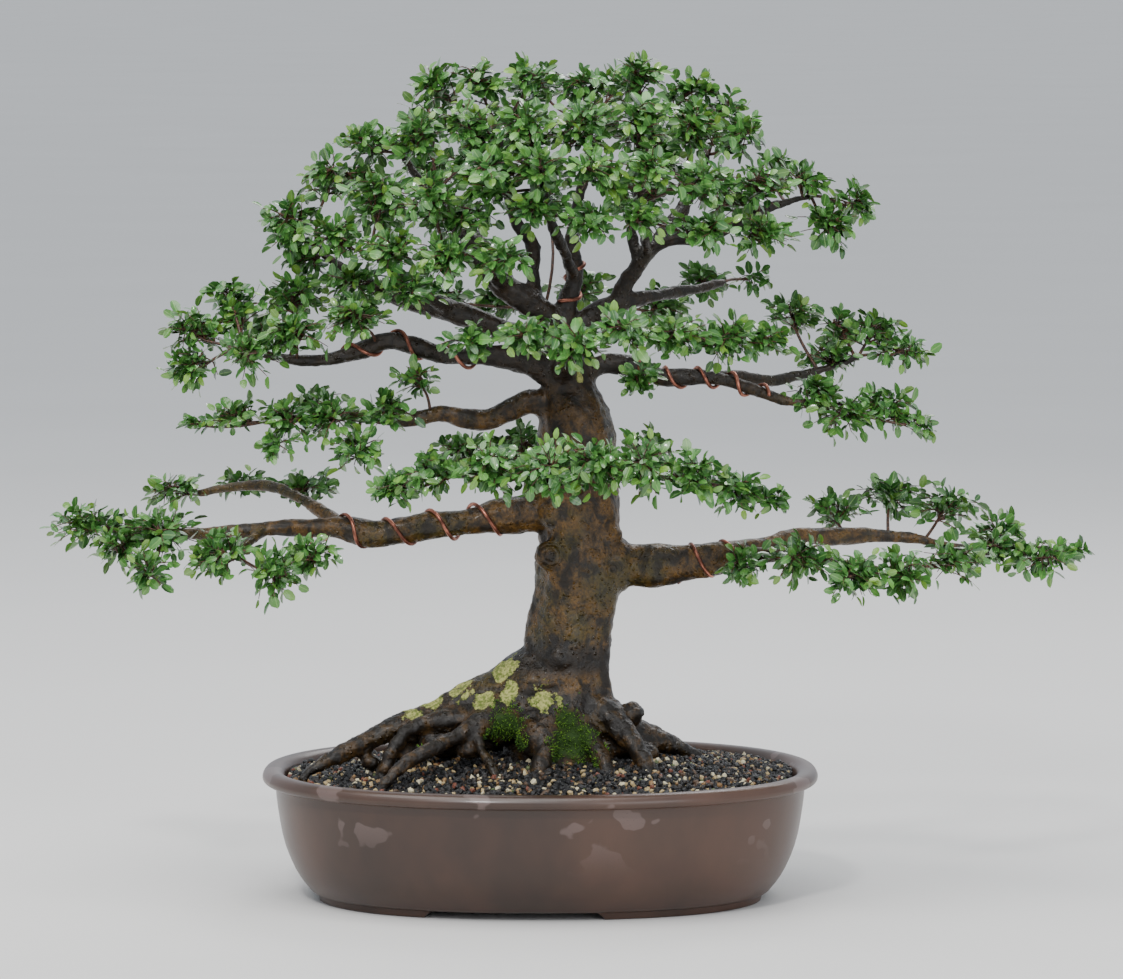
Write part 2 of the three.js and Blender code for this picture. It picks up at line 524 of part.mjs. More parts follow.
// One leafy shoot: a stalk that sets out from its root and arches through its clump of leaves.
// root holds the start, the way the stalk leaves it, how far it keeps that way and stays bare, its
// thickness there and, on a side shoot, the way that its parent faces.
function shootSolid(root, clump, loose, random) {
  const [x, height, depth, halfWidth] = clump;
  const center = seen([x, height, depth]);
  const roam = () => (random() - 0.5) * loose * halfWidth;
  center.add(new THREE.Vector3(roam(), roam(), roam() * ROAM_HEIGHT));
  const outward = new THREE.Vector3(center.x - CROWN_X, center.y, 0).normalize();
  const run = center.clone().sub(root.start);
  run.addScaledVector(outward, -RUN_SIDEWAYS * run.dot(outward));
  run.normalize().addScaledVector(UP, RUN_RISE + RUN_RISE_SPREAD * (random() - 0.5));
  run.applyAxisAngle(UP, (random() - 0.5) * (RUN_TURN_SPREAD + loose)).normalize();
  const tip = center.clone().addScaledVector(run, halfWidth * TIP_REACH);
  const bend = center.clone().addScaledVector(run, -halfWidth * BEND_REACH);
  bend.addScaledVector(UP, BEND_LIFT);
  const leave = root.start.clone().addScaledVector(root.way, root.lead);
  const curve = new THREE.CubicBezierCurve3(root.start, leave, bend, tip);
  const length = curve.getLength();
  const [leavesLeft, leavesRight] = halfWidth > SMALL_CLUMP ? [3, 2] : [2, 2];
  const ranks = Math.max(leavesLeft, leavesRight + 0.5) * LEAF_SPACING;
  const leafy = ranks + LEAF_LENGTH * END_LEAF_OUTLINE[1][0];
  const stalk = Math.max(length - leafy + 2 * STALK_HALF_WIDTH, root.bare);
  const outline = shootOutline(root.knee, stalk, leavesLeft, leavesRight, random);
  const leaves = outline.slice(2, -2);
  const facing = outward.clone().multiplyScalar(FACE_OUTWARD).addScaledVector(UP, FACE_UP);
  const stray = new THREE.Vector3(random() - 0.5, random() - 0.5, random() - 0.5);
  facing.addScaledVector(stray, FACE_SPREAD);
  const rootFacing = (root.facing ?? facing).clone().projectOnPlane(root.way).normalize();
  facing.projectOnPlane(run).normalize();
  const phase = random() * 2 * Math.PI;
  const frameAt = (u) => {
    const share = Math.min(u / length, 1);
    const along = curve.getTangentAt(share);
    const turned = THREE.MathUtils.smoothstep(u, 2, stalk);
    const normal = rootFacing.clone().lerp(facing, turned);
    normal.addScaledVector(along, -normal.dot(along)).normalize();
    const place = curve.getPointAt(share).addScaledVector(along, Math.max(u - length, 0));
    return { place, along, normal, across: normal.clone().cross(along) };
  };
  const carry = (u, v, side) => {
    const { place, normal, across } = frameAt(u);
    const thin = THREE.MathUtils.smoothstep(u, 0, stalk);
    const half = THREE.MathUtils.lerp(root.thickness, LEAF_THICKNESS, thin) / 2;
    const wave = LEAF_WAVE * Math.sin(WAVES_PER_MM * u + phase) * (Math.abs(v) / LEAF_LENGTH);
    const widened = THREE.MathUtils.lerp(root.thickness / STALK_THICKNESS, 1, thin);
    place.addScaledVector(across, v * widened);
    return place.addScaledVector(normal, wave - LEAF_ARCH * v * v + side * half);
  };
  const { solid: whole, thinnest } = bladeSolid(outline, carry, true);
  return { whole, leaves: bladeSolid(leaves, carry, false).solid, thinnest, frameAt };
}

// Whether two boxes lie within reach of each other
function near(one, other) {
  return [0, 1, 2].every((axis) => (
    one.min[axis] - REACH < other.max[axis] && other.min[axis] - REACH < one.max[axis]
  ));
}

// The smallest gap from a solid to a list of others, up to REACH
function smallestGap(solid, others) {
  const box = solid.boundingBox();
  const close = others.filter((other) => near(box, other.boundingBox()));
  return Math.min(REACH, ...close.map((other) => other.minGap(solid, REACH)));
}

// The first of several random shoots that is nowhere too thin and stays clear of the wood, of what
// is placed and of its siblings' leaves, or else the one that stays clearest
function clearShoot(root, clump, placed, siblings, random) {
  let best = null;
  let bestGap = -Infinity;
  for (let attempt = 0; attempt < PLACING_TRIES && bestGap < LEAF_GAP; attempt++) {
    const loose = FIRST_LOOSENESS + (attempt / PLACING_TRIES) * LOOSENESS_RANGE;
    const shoot = shootSolid(root, clump, loose, random);
    const gap = shoot.thinnest < LEAST_THICKNESS ? shoot.thinnest - LEAST_THICKNESS : Math.min(
      smallestGap(shoot.whole, [...placed, ...siblings.map((other) => other.leaves)]),
      smallestGap(shoot.leaves, [treeWood, ...siblings.map((other) => other.whole)]),
    );
    if (gap > bestGap) {
      best = shoot;
      bestGap = gap;
    }
  }
  return best;
}

// A spray: a first leafy shoot off its limb, and the others as side shoots of the first one's stalk
function spraySolid([limb, share, clumps], placed, seed) {
  const random = randomFrom(seed);
  const { curve, radiusAt } = limbPath(LIMBS[limb]);
  const foot = curve.getPointAt(share);
  const middle = new THREE.Vector3();
  clumps.forEach((clump) => middle.addScaledVector(seen(clump), 1 / clumps.length));
  const tangent = curve.getTangentAt(share);
  const aside = middle.sub(foot).projectOnPlane(tangent).normalize();
  const way = share === 1 ? tangent : aside.addScaledVector(tangent, STEM_TANGENT).normalize();
  const start = foot.addScaledVector(way, share === 1 ? GAP : 0);
  const bark = share === 1 ? 0 : radiusAt(share);
  const bare = bark + FORK_SPACING * (clumps.length + 0.5);
  const knee = bare - STEM_END_ROOM;
  const root = {
    start,
    way,
    lead: bark + STEM_LEAD,
    knee,
    bare: bare + STEM_BARE_ROOM,
    thickness: STEM_THICKNESS,
  };
  const first = clearShoot(root, clumps[0], placed, [], random);
  const shoots = [first];
  clumps.slice(1).forEach((clump, index) => {
    const reach = bark + FORK_SPACING * (index + 1);
    const fork = first.frameAt(reach);
    fork.place.copy(start).lerp(first.frameAt(knee).place, reach / knee);
    const turn = Math.sign(seen(clump).sub(fork.place).dot(fork.across));
    const side = {
      start: fork.place,
      way: fork.across.clone().multiplyScalar(turn).addScaledVector(fork.along, FORK_TANGENT).normalize(),
      lead: 2 * STEM_THICKNESS,
      knee: 2 * STEM_THICKNESS - 1,
      bare: 2 * STEM_THICKNESS,
      facing: fork.normal,
      thickness: STALK_THICKNESS,
    };
    shoots.push(clearShoot(side, clump, placed, shoots, random));
  });
  const whole = joined(shoots.map((shoot) => shoot.whole));
  const apart = smallestGap(whole, [treeWood]) > 0.9 * GAP;
  return mainBody(apart ? whole : whole.subtract(treeClearance));
}

// A vessel: a profile of [inset from the rim's outline, height] points turned into an oval.
// A point with no inset lies on the middle axis.
function vesselSolid(profile, heightAt) {
  const half = POT_DEPTH / 2;
  const turned = profile.map(([inset, z]) => new THREE.Vector2(inset === null ? 0 : half - inset, z));
  const geometry = new THREE.LatheGeometry(turned, POT_SIDES);
  const position = geometry.attributes.position;
  for (let i = 0; i < position.count; i++) {
    const radius = Math.hypot(position.getX(i), position.getZ(i));
    const onAxis = radius < 0.01;
    const [x, y] = onAxis ? [0, 0] : ovalPoint(position.getX(i), -position.getZ(i), half - radius);
    const z = position.getY(i);
    position.setXYZ(i, x, y, z === SOIL_EDGE_HEIGHT ? heightAt(x, y) : z);
  }
  return solidFrom(geometry);
}

// The point of the pot's oval in the direction (x, y), moved inwards by an inset
function ovalPoint(x, y, inset) {
  const angle = Math.atan2(y, x);
  const [cos, sin] = [Math.cos(angle), Math.sin(angle)];
  const power = 2 / POT_ROUNDNESS;
  const px = (POT_LENGTH / 2) * Math.sign(cos) * Math.abs(cos) ** power;
  const py = (POT_DEPTH / 2) * Math.sign(sin) * Math.abs(sin) ** power;
  const limit = POT_DEPTH / 2 - INNER_INSET;
  const shrink = Math.max(0, inset - INNER_INSET) / limit;
  const normal = new THREE.Vector2(
    (Math.sign(px) * (2 * Math.abs(px) / POT_LENGTH) ** (POT_ROUNDNESS - 1)) / POT_LENGTH,
    (Math.sign(py) * (2 * Math.abs(py) / POT_DEPTH) ** (POT_ROUNDNESS - 1)) / POT_DEPTH,
  ).normalize();
  const step = Math.min(inset, INNER_INSET);
  return [(px - normal.x * step) * (1 - shrink), (py - normal.y * step) * (1 - shrink)];
}

function boxSolid(width, depth, height, x, y, z) {
  return solidFrom(new THREE.BoxGeometry(width, depth, height).translate(x, y, z));
}

// The pot: one turned profile from the middle of its underside round the foot, wall and rim,
// and back to the middle of its floor, with cut feet and drain holes
function potSolid() {
  let pot = vesselSolid(POT_PROFILE);
  for (const x of [-DRAIN_X, DRAIN_X]) {
    const drain = new THREE.CylinderGeometry(DRAIN_RADIUS, DRAIN_RADIUS, 3 * FLOOR_TOP, DRAIN_SIDES);
    pot = pot.subtract(solidFrom(drain.rotateX(Math.PI / 2).translate(x, 0, 0)));
  }
  const cut = 2 * FOOT_HEIGHT;
  const front = boxSolid(FRONT_FOOT_GAP, 2 * POT_DEPTH, cut, FRONT_GAP_X, 0, 0);
  const ends = boxSolid(2 * POT_LENGTH, END_FOOT_GAP, cut, 0, 0, 0);
  return pot.subtract(front).subtract(ends);
}

// The soil's surface: a low mound round the trunk, with the small relief of coarse grit
function soilHeight(x, y) {
  const away = Math.hypot((x - SOIL_MOUND_X) / SOIL_MOUND_LENGTH, y / SOIL_MOUND_DEPTH);
  const mound = SOIL_MOUND * Math.max(0, 1 - away * away);
  const grit = Math.sin(x * 0.53 + y * 0.19) * Math.cos(y * 0.47 - x * 0.11);
  return SOIL_EDGE_HEIGHT + mound + SOIL_RELIEF * grit;
}

function soilSolid(screens) {
  const surface = [];
  for (let ring = 0; ring < SOIL_RINGS; ring++) {
    const edge = SOIL_SIDE_PROFILE[SOIL_SIDE_PROFILE.length - 1][0];
    surface.push([THREE.MathUtils.lerp(edge, POT_DEPTH / 2, ring / SOIL_RINGS), SOIL_EDGE_HEIGHT]);
  }
  const profile = [[null, FLOOR_TOP + GAP], ...SOIL_SIDE_PROFILE, ...surface, [null, SOIL_EDGE_HEIGHT]];
  let soil = vesselSolid(profile, soilHeight).subtract(treeClearance);
  for (const x of screens) {
    const side = SCREEN_SIDE + 2 * GAP;
    soil = soil.subtract(boxSolid(side, side, 2 * (SCREEN_THICKNESS + 2 * GAP), x, 0, FLOOR_TOP));
  }
  return mainBody(soil);
}

// A drainage screen: a thin square of plastic with a grid of holes, flat on the pot's floor
function screenSolid(x) {
  const pitch = SCREEN_SIDE / SCREEN_HOLES;
  const z = FLOOR_TOP + GAP + SCREEN_THICKNESS / 2;
  let screen = boxSolid(SCREEN_SIDE, SCREEN_SIDE, SCREEN_THICKNESS, x, 0, z);
  for (let i = 0; i < SCREEN_HOLES; i++) {
    for (let j = 0; j < SCREEN_HOLES; j++) {
      const [dx, dy] = [i, j].map((step) => (step - (SCREEN_HOLES - 1) / 2) * pitch);
      const hole = SCREEN_HOLE_SHARE * pitch;
      screen = screen.subtract(boxSolid(hole, hole, 4 * SCREEN_THICKNESS, x + dx, dy, z));
    }
  }
  return screen;
}

const glaze = new THREE.MeshStandardMaterial({ color: "#4b372d", roughness: 0.35, metalness: 0 });
const grit = new THREE.MeshStandardMaterial({ color: "#2a2623", roughness: 0.9, metalness: 0 });
const bark = new THREE.MeshStandardMaterial({ color: "#4b3c24", roughness: 0.6, metalness: 0 });
const copper = new THREE.MeshStandardMaterial({ color: "#9c5c46", roughness: 0.35, metalness: 1 });
const plastic = new THREE.MeshStandardMaterial({ color: "#22252a", roughness: 0.6, metalness: 0 });
const leaf = new THREE.MeshStandardMaterial({ color: "#3c7832", roughness: 0.4, metalness: 0 });

const bonsai = new THREE.Group();

function addPiece(name, solid, material) {
  const mesh = solid.getMesh();
  const geometry = new THREE.BufferGeometry();
  geometry.setAttribute("position", new THREE.BufferAttribute(mesh.vertProperties, mesh.numProp));
  geometry.setIndex(new THREE.BufferAttribute(mesh.triVerts, 1));
  geometry.computeVertexNormals();
  const piece = new THREE.Mesh(geometry, material);
  piece.name = name;
  bonsai.add(piece);
}

addPiece("pot", potSolid(), glaze);
addPiece("soil", soilSolid([-DRAIN_X, DRAIN_X]), grit);
addPiece("drain_screen_left", screenSolid(-DRAIN_X), plastic);
addPiece("drain_screen_right", screenSolid(DRAIN_X), plastic);
addPiece("tree_wood", treeWood, bark);

const placed = [];
for (const [name, wire] of Object.entries(WIRES)) {
  const solid = wireSolid(wire);
  placed.push(solid);
  addPiece(name, solid, copper);
}
Object.entries(SPRAYS).forEach(([name, spray], index) => {
  const solid = spraySolid(spray, placed, SPRAY_SEED + index);
  placed.push(solid);
  addPiece(name, solid, leaf);
});

// The origin is on the ground, in the middle of the whole part's box
const middle = new THREE.Box3().setFromObject(bonsai).getCenter(new THREE.Vector3());
bonsai.position.set(-middle.x, -middle.y, 0);

export default bonsai;
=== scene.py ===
import bpy
import numpy as np
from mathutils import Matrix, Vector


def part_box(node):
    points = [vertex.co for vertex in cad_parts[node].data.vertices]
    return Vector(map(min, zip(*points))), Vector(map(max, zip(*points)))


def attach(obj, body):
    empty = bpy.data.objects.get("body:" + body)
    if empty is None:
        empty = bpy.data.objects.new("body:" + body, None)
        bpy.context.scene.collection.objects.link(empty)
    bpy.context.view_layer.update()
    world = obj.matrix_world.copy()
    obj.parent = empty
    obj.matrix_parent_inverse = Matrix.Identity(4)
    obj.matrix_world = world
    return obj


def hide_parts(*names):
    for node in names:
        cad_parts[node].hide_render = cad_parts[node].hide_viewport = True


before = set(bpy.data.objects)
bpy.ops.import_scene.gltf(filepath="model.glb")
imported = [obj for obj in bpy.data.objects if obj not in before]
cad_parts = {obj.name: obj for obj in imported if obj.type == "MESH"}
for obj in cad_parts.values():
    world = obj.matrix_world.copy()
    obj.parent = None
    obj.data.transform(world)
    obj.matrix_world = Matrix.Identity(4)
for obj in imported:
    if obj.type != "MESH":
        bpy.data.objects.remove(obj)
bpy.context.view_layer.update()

pot_low, pot_high = (np.array(corner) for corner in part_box("pot"))

MM = 0.001
POT_CENTRE = np.array([(pot_low[0] + pot_high[0]) / 2, (pot_low[1] + pot_high[1]) / 2, 0.0])

# Pot, in millimetres
POT_LENGTH = (pot_high[0] - pot_low[0]) / MM
POT_DEPTH = (pot_high[1] - pot_low[1]) / MM
POT_ROUNDNESS = 2.25
POT_COLUMNS = 200
CORNER_STEPS = 4
FOOT_HEIGHT = 6
FRONT_FOOT_GAP = 136
FRONT_GAP_X = -21
END_FOOT_GAP = 60
DRAIN_RADIUS = 13
DRAIN_X = 95
DRAIN_SIDES = 40
FLOOR_TOP = 17
INNER_INSET = 60
SCREEN_SIDE = 44
SCREEN_BARS = 10
SCREEN_BAR_SIDES = 6

# The pot's profile from the middle of its underside, round its foot, wall and rim and back to the
# middle of its floor: [inset from the rim's outline, height, radius of the corner]
POT_PROFILE = [
    (INNER_INSET, 6, 1), (INNER_INSET, 0, 1.5), (45, 0, 1.5), (44, 6, 1.5), (40, 7, 3), (28, 22, 14),
    (17, 48, 18), (11.5, 84, 12), (11, 95.5, 1.2), (4, 96, 2.2), (0.4, 98.5, 2.4), (0, 102.5, 2.6),
    (3, 107, 2.8), (9, 108.4, 4), (15, 107, 3), (19, 102, 4), (24, 50, 12), (46, FLOOR_TOP, 8),
    (INNER_INSET, FLOOR_TOP, 1),
]

# Soil, in millimetres. The trunk stands in an oval without grains: (x of its middle, half length, half
# depth).
SOIL_EDGE_HEIGHT = 102.5
SOIL_EDGE_INSET = 21.5
SOIL_MOUND = 16
SOIL_MOUND_X = 15
SOIL_MOUND_LENGTH = 200
SOIL_MOUND_DEPTH = 140
SOIL_RINGS = 42
SOIL_COLUMNS = 120
BED_DROP = 1.6
BED_ROUGHNESS = 0.9
GRAIN_SPACING = 4.1
GRAIN_RADIUS = (1.5, 3.1)
GRAIN_STRAY = 0.42
GRAIN_SINK = 0.35
SECOND_LAYER_SHARE = 0.3
SECOND_LAYER_LIFT = 1.6
TRUNK_AT_SOIL = (16, 34, 30)

# Wood, moss and wire, in millimetres. The knottiness says how unevenly a limb swells. A rib is its count
# round the limb and its share of the radius.
WOOD_VOXEL = 2.3
LIMB_STEP = 4
SPAN_STEPS = 24
LIMB_KNOTTINESS = 2
ROOT_KNOTTINESS = 2.4
FIRST_ROOT_SEED = 100
ROOT_DIVE = 16
LIMB_RIBS = ((2, 0.05), (3, 0.045), (5, 0.035), (8, 0.02))
TRUNK_TOP = 430
FLARE_TOP = 190
BARK_RIDGE = 1.2
BARK_BUMP = 0.75
ROOT_BUMP = 0.55
MOSS_SPIKES = 5200
MOSS_WIDTH = (0.35, 0.7)
MOSS_LENGTH = (1.4, 3.4)
WIRE_RADIUS = 1.6
WIRE_CLEARANCE = 0.3
WIRE_SIDES = 12
WIRE_STEPS_PER_TURN = 22

# Leaves and twigs, in millimetres. A leaf's length is (shortest, most usual, longest), and a pair of
# numbers is a range.
LEAF_LENGTH = (6.5, 10, 14)
LEAF_WIDTH_SHARE = 0.64
LEAF_THICKNESS = 0.5
LEAF_WIDTH_SPREAD = (0.85, 1.12)
LEAF_FOLD = (0.05, 0.5)
LEAF_DROOP = (-0.02, 0.24)
LEAF_TWIST = (-0.35, 0.35)
LEAF_WAVE = (0.0, 0.05)
LEAVES_PER_SHOOT = 4
LEAVES_PER_AREA = 0.335
LEAVES_KEPT = 0.94
TWIG_RADIUS = (1.5, 0.9)
TWIG_POINTS = 7
TWIG_SIDES = 5
SHOOT_RADIUS = (0.75, 0.35)
SHOOT_POINTS = 4
SHOOT_SIDES = 3
BARE_SHARE = 0.3

# The eye that the tree was measured from, and the point that it looks at
MEASURING_EYE = np.array([18.0, -4800.0, 828.0])
CAMERA_PLACE = np.array([17.6, -4830.0, 830.0])
CAMERA_TARGET = np.array([17.6, 0.0, 338.0])
CAMERA_LENS = 188.8
CAMERA_SENSOR = 36.0

# Studio floor, in metres
FLOOR_REACH = 60
FLOOR_DROP = 0.0002

# The middle of the crown, which leaves face away from
CROWN_CENTRE = np.array([20.0, 0.0, 470.0])

# Limbs: each point is (x, height, depth, radius) as seen from the front. Depth runs away from the eye.
LIMBS = {
    "trunk": [
        (18, 92, 0, 50), (18, 118, 0, 46), (19, 145, 0, 42), (21, 172, 0, 39.5), (22, 200, 0, 38),
        (24, 225, 0, 35.5), (29, 250, 0, 35), (32, 275, 0, 34), (33, 300, 0, 33), (33, 325, 0, 32),
        (32, 350, 0, 31), (30, 378, 0, 31.5), (28, 398, 0, 27), (24, 418, 2, 22.5), (21, 438, 4, 18),
        (18, 456, 6, 14), (16, 472, 7, 11),
    ],
    "left_low": [
        (20, 320, 0, 15), (-10, 318, -2, 13.5), (-35, 316, -5, 13), (-60, 311, -8, 11),
        (-85, 309, -10, 10.5), (-115, 304, -10, 10), (-140, 301, -10, 9), (-162, 306, -10, 9),
        (-190, 306, -10, 7.5), (-220, 306, -10, 6.5), (-250, 303, -10, 5.5), (-280, 301, -10, 4.5),
        (-315, 303, -8, 3.5), (-345, 306, -5, 2.6),
    ],
    "left_low_back": [
        (-158, 306, -8, 6), (-178, 318, 10, 5.5), (-200, 332, 30, 5), (-225, 341, 45, 4.5),
        (-252, 340, 55, 3.8), (-282, 335, 62, 2.6),
    ],
    "left_low_front": [(-228, 305, -10, 5), (-242, 293, -30, 4), (-252, 284, -48, 2.8)],
    "right_low": [
        (40, 280, 0, 18), (70, 276, -2, 17), (92, 275, -4, 15.5), (115, 277, -6, 13), (140, 280, -8, 11.5),
        (165, 286, -5, 9.5), (190, 292, 5, 8), (212, 299, 20, 7), (240, 299, 35, 6.5), (275, 300, 45, 5.2),
        (310, 297, 42, 4.2), (345, 290, 25, 3.4), (380, 285, 10, 2.6),
    ],
    "right_low_front": [
        (158, 284, -6, 7), (185, 284, -25, 5.5), (215, 282, -45, 4.8), (250, 276, -58, 3.8),
        (283, 272, -60, 2.6),
    ],
    "left_mid": [
        (12, 402, 0, 11), (-5, 411, -2, 8.5), (-25, 404, -4, 8), (-42, 396, -5, 7.5), (-62, 397, -6, 7.5),
        (-82, 401, -6, 7), (-105, 396, -8, 6), (-130, 397, -10, 5), (-165, 400, -13, 4),
        (-200, 398, -13, 3.2), (-228, 394, -12, 2.5),
    ],
    "left_wired": [
        (18, 432, 0, 12), (-10, 443, -5, 9.5), (-40, 449, -8, 8), (-75, 448, -10, 7), (-105, 457, -12, 7),
        (-125, 461, -12, 6.5), (-150, 452, -12, 6), (-180, 445, -14, 5), (-215, 447, -15, 4),
        (-244, 455, -15, 2.8),
    ],
    "left_leader": [
        (20, 430, 2, 13), (-5, 458, 4, 10), (-35, 472, 2, 9), (-75, 486, 0, 8.5), (-105, 494, 2, 7.2),
        (-135, 505, 6, 5.6), (-162, 520, 10, 4.2), (-184, 538, 12, 2.8),
    ],
    "front_left": [(-72, 485, 0, 6), (-95, 500, -28, 4.6), (-120, 518, -52, 3.8), (-138, 534, -62, 2.6)],
    "upper_left": [
        (19, 450, 5, 12), (12, 475, 2, 10.5), (-8, 492, -4, 10), (-30, 506, -8, 9), (-46, 522, -8, 7),
        (-60, 545, -4, 6), (-80, 570, 0, 5), (-100, 595, 5, 3.8), (-112, 612, 6, 2.6),
    ],
    "inner_left": [
        (-2, 490, -2, 6.5), (-6, 518, 4, 5.4), (-6, 540, 8, 5), (-18, 556, 6, 4.6), (-25, 578, 2, 4),
        (-30, 605, 0, 3.4), (-34, 635, 0, 2.6),
    ],
    "center_leader": [
        (16, 462, 6, 10), (22, 492, 4, 7), (29, 515, 4, 6), (26, 540, 10, 5.4), (30, 570, 14, 4.8),
        (38, 602, 15, 4), (42, 640, 14, 2.6),
    ],
    "right_leader": [
        (19, 452, 6, 10), (40, 480, 8, 8), (62, 491, 8, 7.2), (88, 497, 18, 6), (112, 501, 38, 4.8),
        (140, 506, 62, 3.6), (152, 510, 74, 2.6),
    ],
    "right_riser": [
        (62, 488, 8, 7), (69, 506, 5, 6.5), (80, 522, 0, 6), (90, 535, -5, 5.6), (108, 543, -10, 5),
        (135, 545, -13, 4.5), (160, 556, -10, 4), (190, 571, -2, 3.4), (222, 580, 0, 2.6),
    ],
    "right_upper": [
        (82, 524, 0, 5), (76, 544, 5, 4.4), (76, 568, 10, 4), (84, 592, 10, 3.6), (90, 622, 8, 3),
        (90, 642, 6, 2.5),
    ],
    "right_crown": [(106, 542, -9, 4.6), (118, 565, 0, 4), (128, 590, 5, 3.4), (138, 614, 6, 2.6)],
    "right_wired": [
        (24, 424, 0, 11), (50, 441, 5, 8), (75, 440, 5, 7), (100, 431, 0, 6.5), (125, 431, -5, 6),
        (150, 429, -8, 5.5), (175, 421, -10, 5), (200, 412, -12, 4.2), (232, 408, -15, 2.8),
    ],
    "right_back": [
        (132, 431, -4, 5), (165, 431, 10, 4.6), (190, 428, 25, 4.4), (215, 433, 40, 4),
        (245, 441, 50, 3.2), (262, 448, 52, 2.6),
    ],
    "front_low": [
        (30, 345, -10, 12), (30, 352, -50, 10), (24, 352, -85, 8), (5, 350, -112, 6),
        (-30, 350, -122, 4.4), (-66, 351, -118, 2.8),
    ],
    "front_low_right": [
        (26, 352, -78, 7), (50, 350, -110, 6), (85, 350, -120, 4.8), (115, 347, -118, 3.8),
        (142, 342, -110, 2.6),
    ],
    "front_high": [
        (20, 432, -6, 10), (20, 446, -42, 7.4), (12, 455, -72, 5.6), (-8, 460, -86, 3.6),
        (-24, 462, -90, 2.6),
    ],
    "front_high_right": [
        (20, 443, -36, 6), (45, 461, -70, 5), (80, 467, -86, 4.2), (110, 466, -90, 3.4),
        (134, 463, -88, 2.6),
    ],
    "back_low": [
        (30, 345, 10, 12), (32, 352, 50, 10), (30, 358, 85, 8), (12, 362, 112, 5.6), (-18, 364, 126, 3.8),
        (-36, 365, 130, 2.6),
    ],
    "back_low_right": [(31, 356, 78, 6), (55, 361, 110, 4.8), (78, 362, 126, 2.8)],
    "back_high": [
        (20, 440, 12, 9), (26, 460, 50, 7.4), (30, 474, 80, 5.6), (18, 484, 104, 4), (4, 488, 114, 2.8),
    ],
    "back_crown_left": [(-24, 502, -6, 6.4), (-38, 530, 22, 5.4), (-60, 556, 55, 4.6), (-84, 584, 88, 2.8)],
    "back_crown_right": [(88, 532, -3, 5.4), (104, 555, 30, 4.6), (118, 576, 65, 3.8), (124, 592, 90, 2.8)],
    "front_crown_left": [(-26, 503, -8, 6.4), (-44, 520, -38, 5), (-64, 531, -66, 4), (-80, 537, -80, 2.8)],
    "front_crown_mid": [
        (28, 512, 4, 5.6), (20, 534, -26, 4.6), (10, 556, -55, 4), (4, 580, -72, 3.2), (2, 596, -78, 2.6),
    ],
    "front_crown_right": [(88, 533, -4, 5.2), (86, 550, -35, 4.4), (82, 566, -62, 3.6), (82, 582, -78, 2.6)],
}

# Surface roots, in the same form as the limbs
ROOTS = {
    "root_left": [
        (12, 182, -4, 30), (-30, 168, -6, 20), (-62, 158, -10, 15), (-92, 150, -16, 11.5),
        (-120, 140, -24, 9), (-148, 126, -34, 7), (-172, 114, -44, 5), (-194, 100, -52, 3.5),
    ],
    "root_left_lower": [
        (-20, 158, -20, 16), (-60, 147, -30, 9), (-92, 144, -34, 7), (-112, 135, -40, 6),
        (-128, 108, -50, 5),
    ],
    "root_left_front": [
        (-10, 155, -22, 18), (-44, 146, -42, 9), (-66, 134, -58, 6.5), (-90, 122, -74, 5.5),
        (-114, 108, -88, 4.5), (-130, 90, -98, 3.5),
    ],
    "root_front_left": [
        (-25, 152, -30, 10), (-50, 140, -48, 5.5), (-50, 124, -62, 4.5), (-42, 110, -76, 4),
        (-34, 92, -86, 3.5),
    ],
    "root_front": [
        (6, 160, -26, 15), (6, 138, -44, 9), (3, 118, -58, 7.5), (-2, 100, -70, 6), (-4, 84, -78, 5),
    ],
    "root_front_right": [(30, 150, -28, 14), (44, 128, -46, 7), (54, 108, -62, 5), (62, 88, -74, 4)],
    "root_right_front": [
        (36, 160, -18, 18), (60, 145, -30, 10), (74, 130, -40, 7.5), (86, 112, -52, 6), (92, 92, -62, 5),
    ],
    "root_right": [
        (40, 150, 0, 20), (66, 142, 0, 12), (88, 131, 4, 8.5), (110, 125, 10, 7), (134, 112, 18, 5),
    ],
    "root_stub": [(48, 150, -8, 12), (66, 149, -12, 8), (77, 152, -14, 8.6), (82, 153, -15, 7)],
    "root_back_right": [(36, 160, 20, 20), (60, 148, 40, 11), (84, 138, 60, 8), (104, 128, 80, 5)],
    "root_back": [(15, 160, 24, 20), (6, 150, 46, 11), (0, 142, 68, 8), (-8, 132, 92, 5)],
    "root_back_left": [(-2, 165, 18, 20), (-40, 155, 36, 12), (-72, 145, 54, 8), (-102, 132, 72, 5)],
}

# Wires: the limb, the shares of its length where the wire starts and ends, its turns and its first angle
WIRES = {
    "wire_left_low": ["left_low", 0.11, 0.55, 4.4, 0],
    "wire_right_low": ["right_low", 0.2, 0.33, 1.7, 1.2],
    "wire_left_upper": ["left_wired", 0.24, 0.7, 3.1, 0.9],
    "wire_right_upper": ["right_wired", 0.26, 0.8, 4.3, 3],
    "wire_center": ["center_leader", 0.17, 0.4, 1.8, 1.5],
}

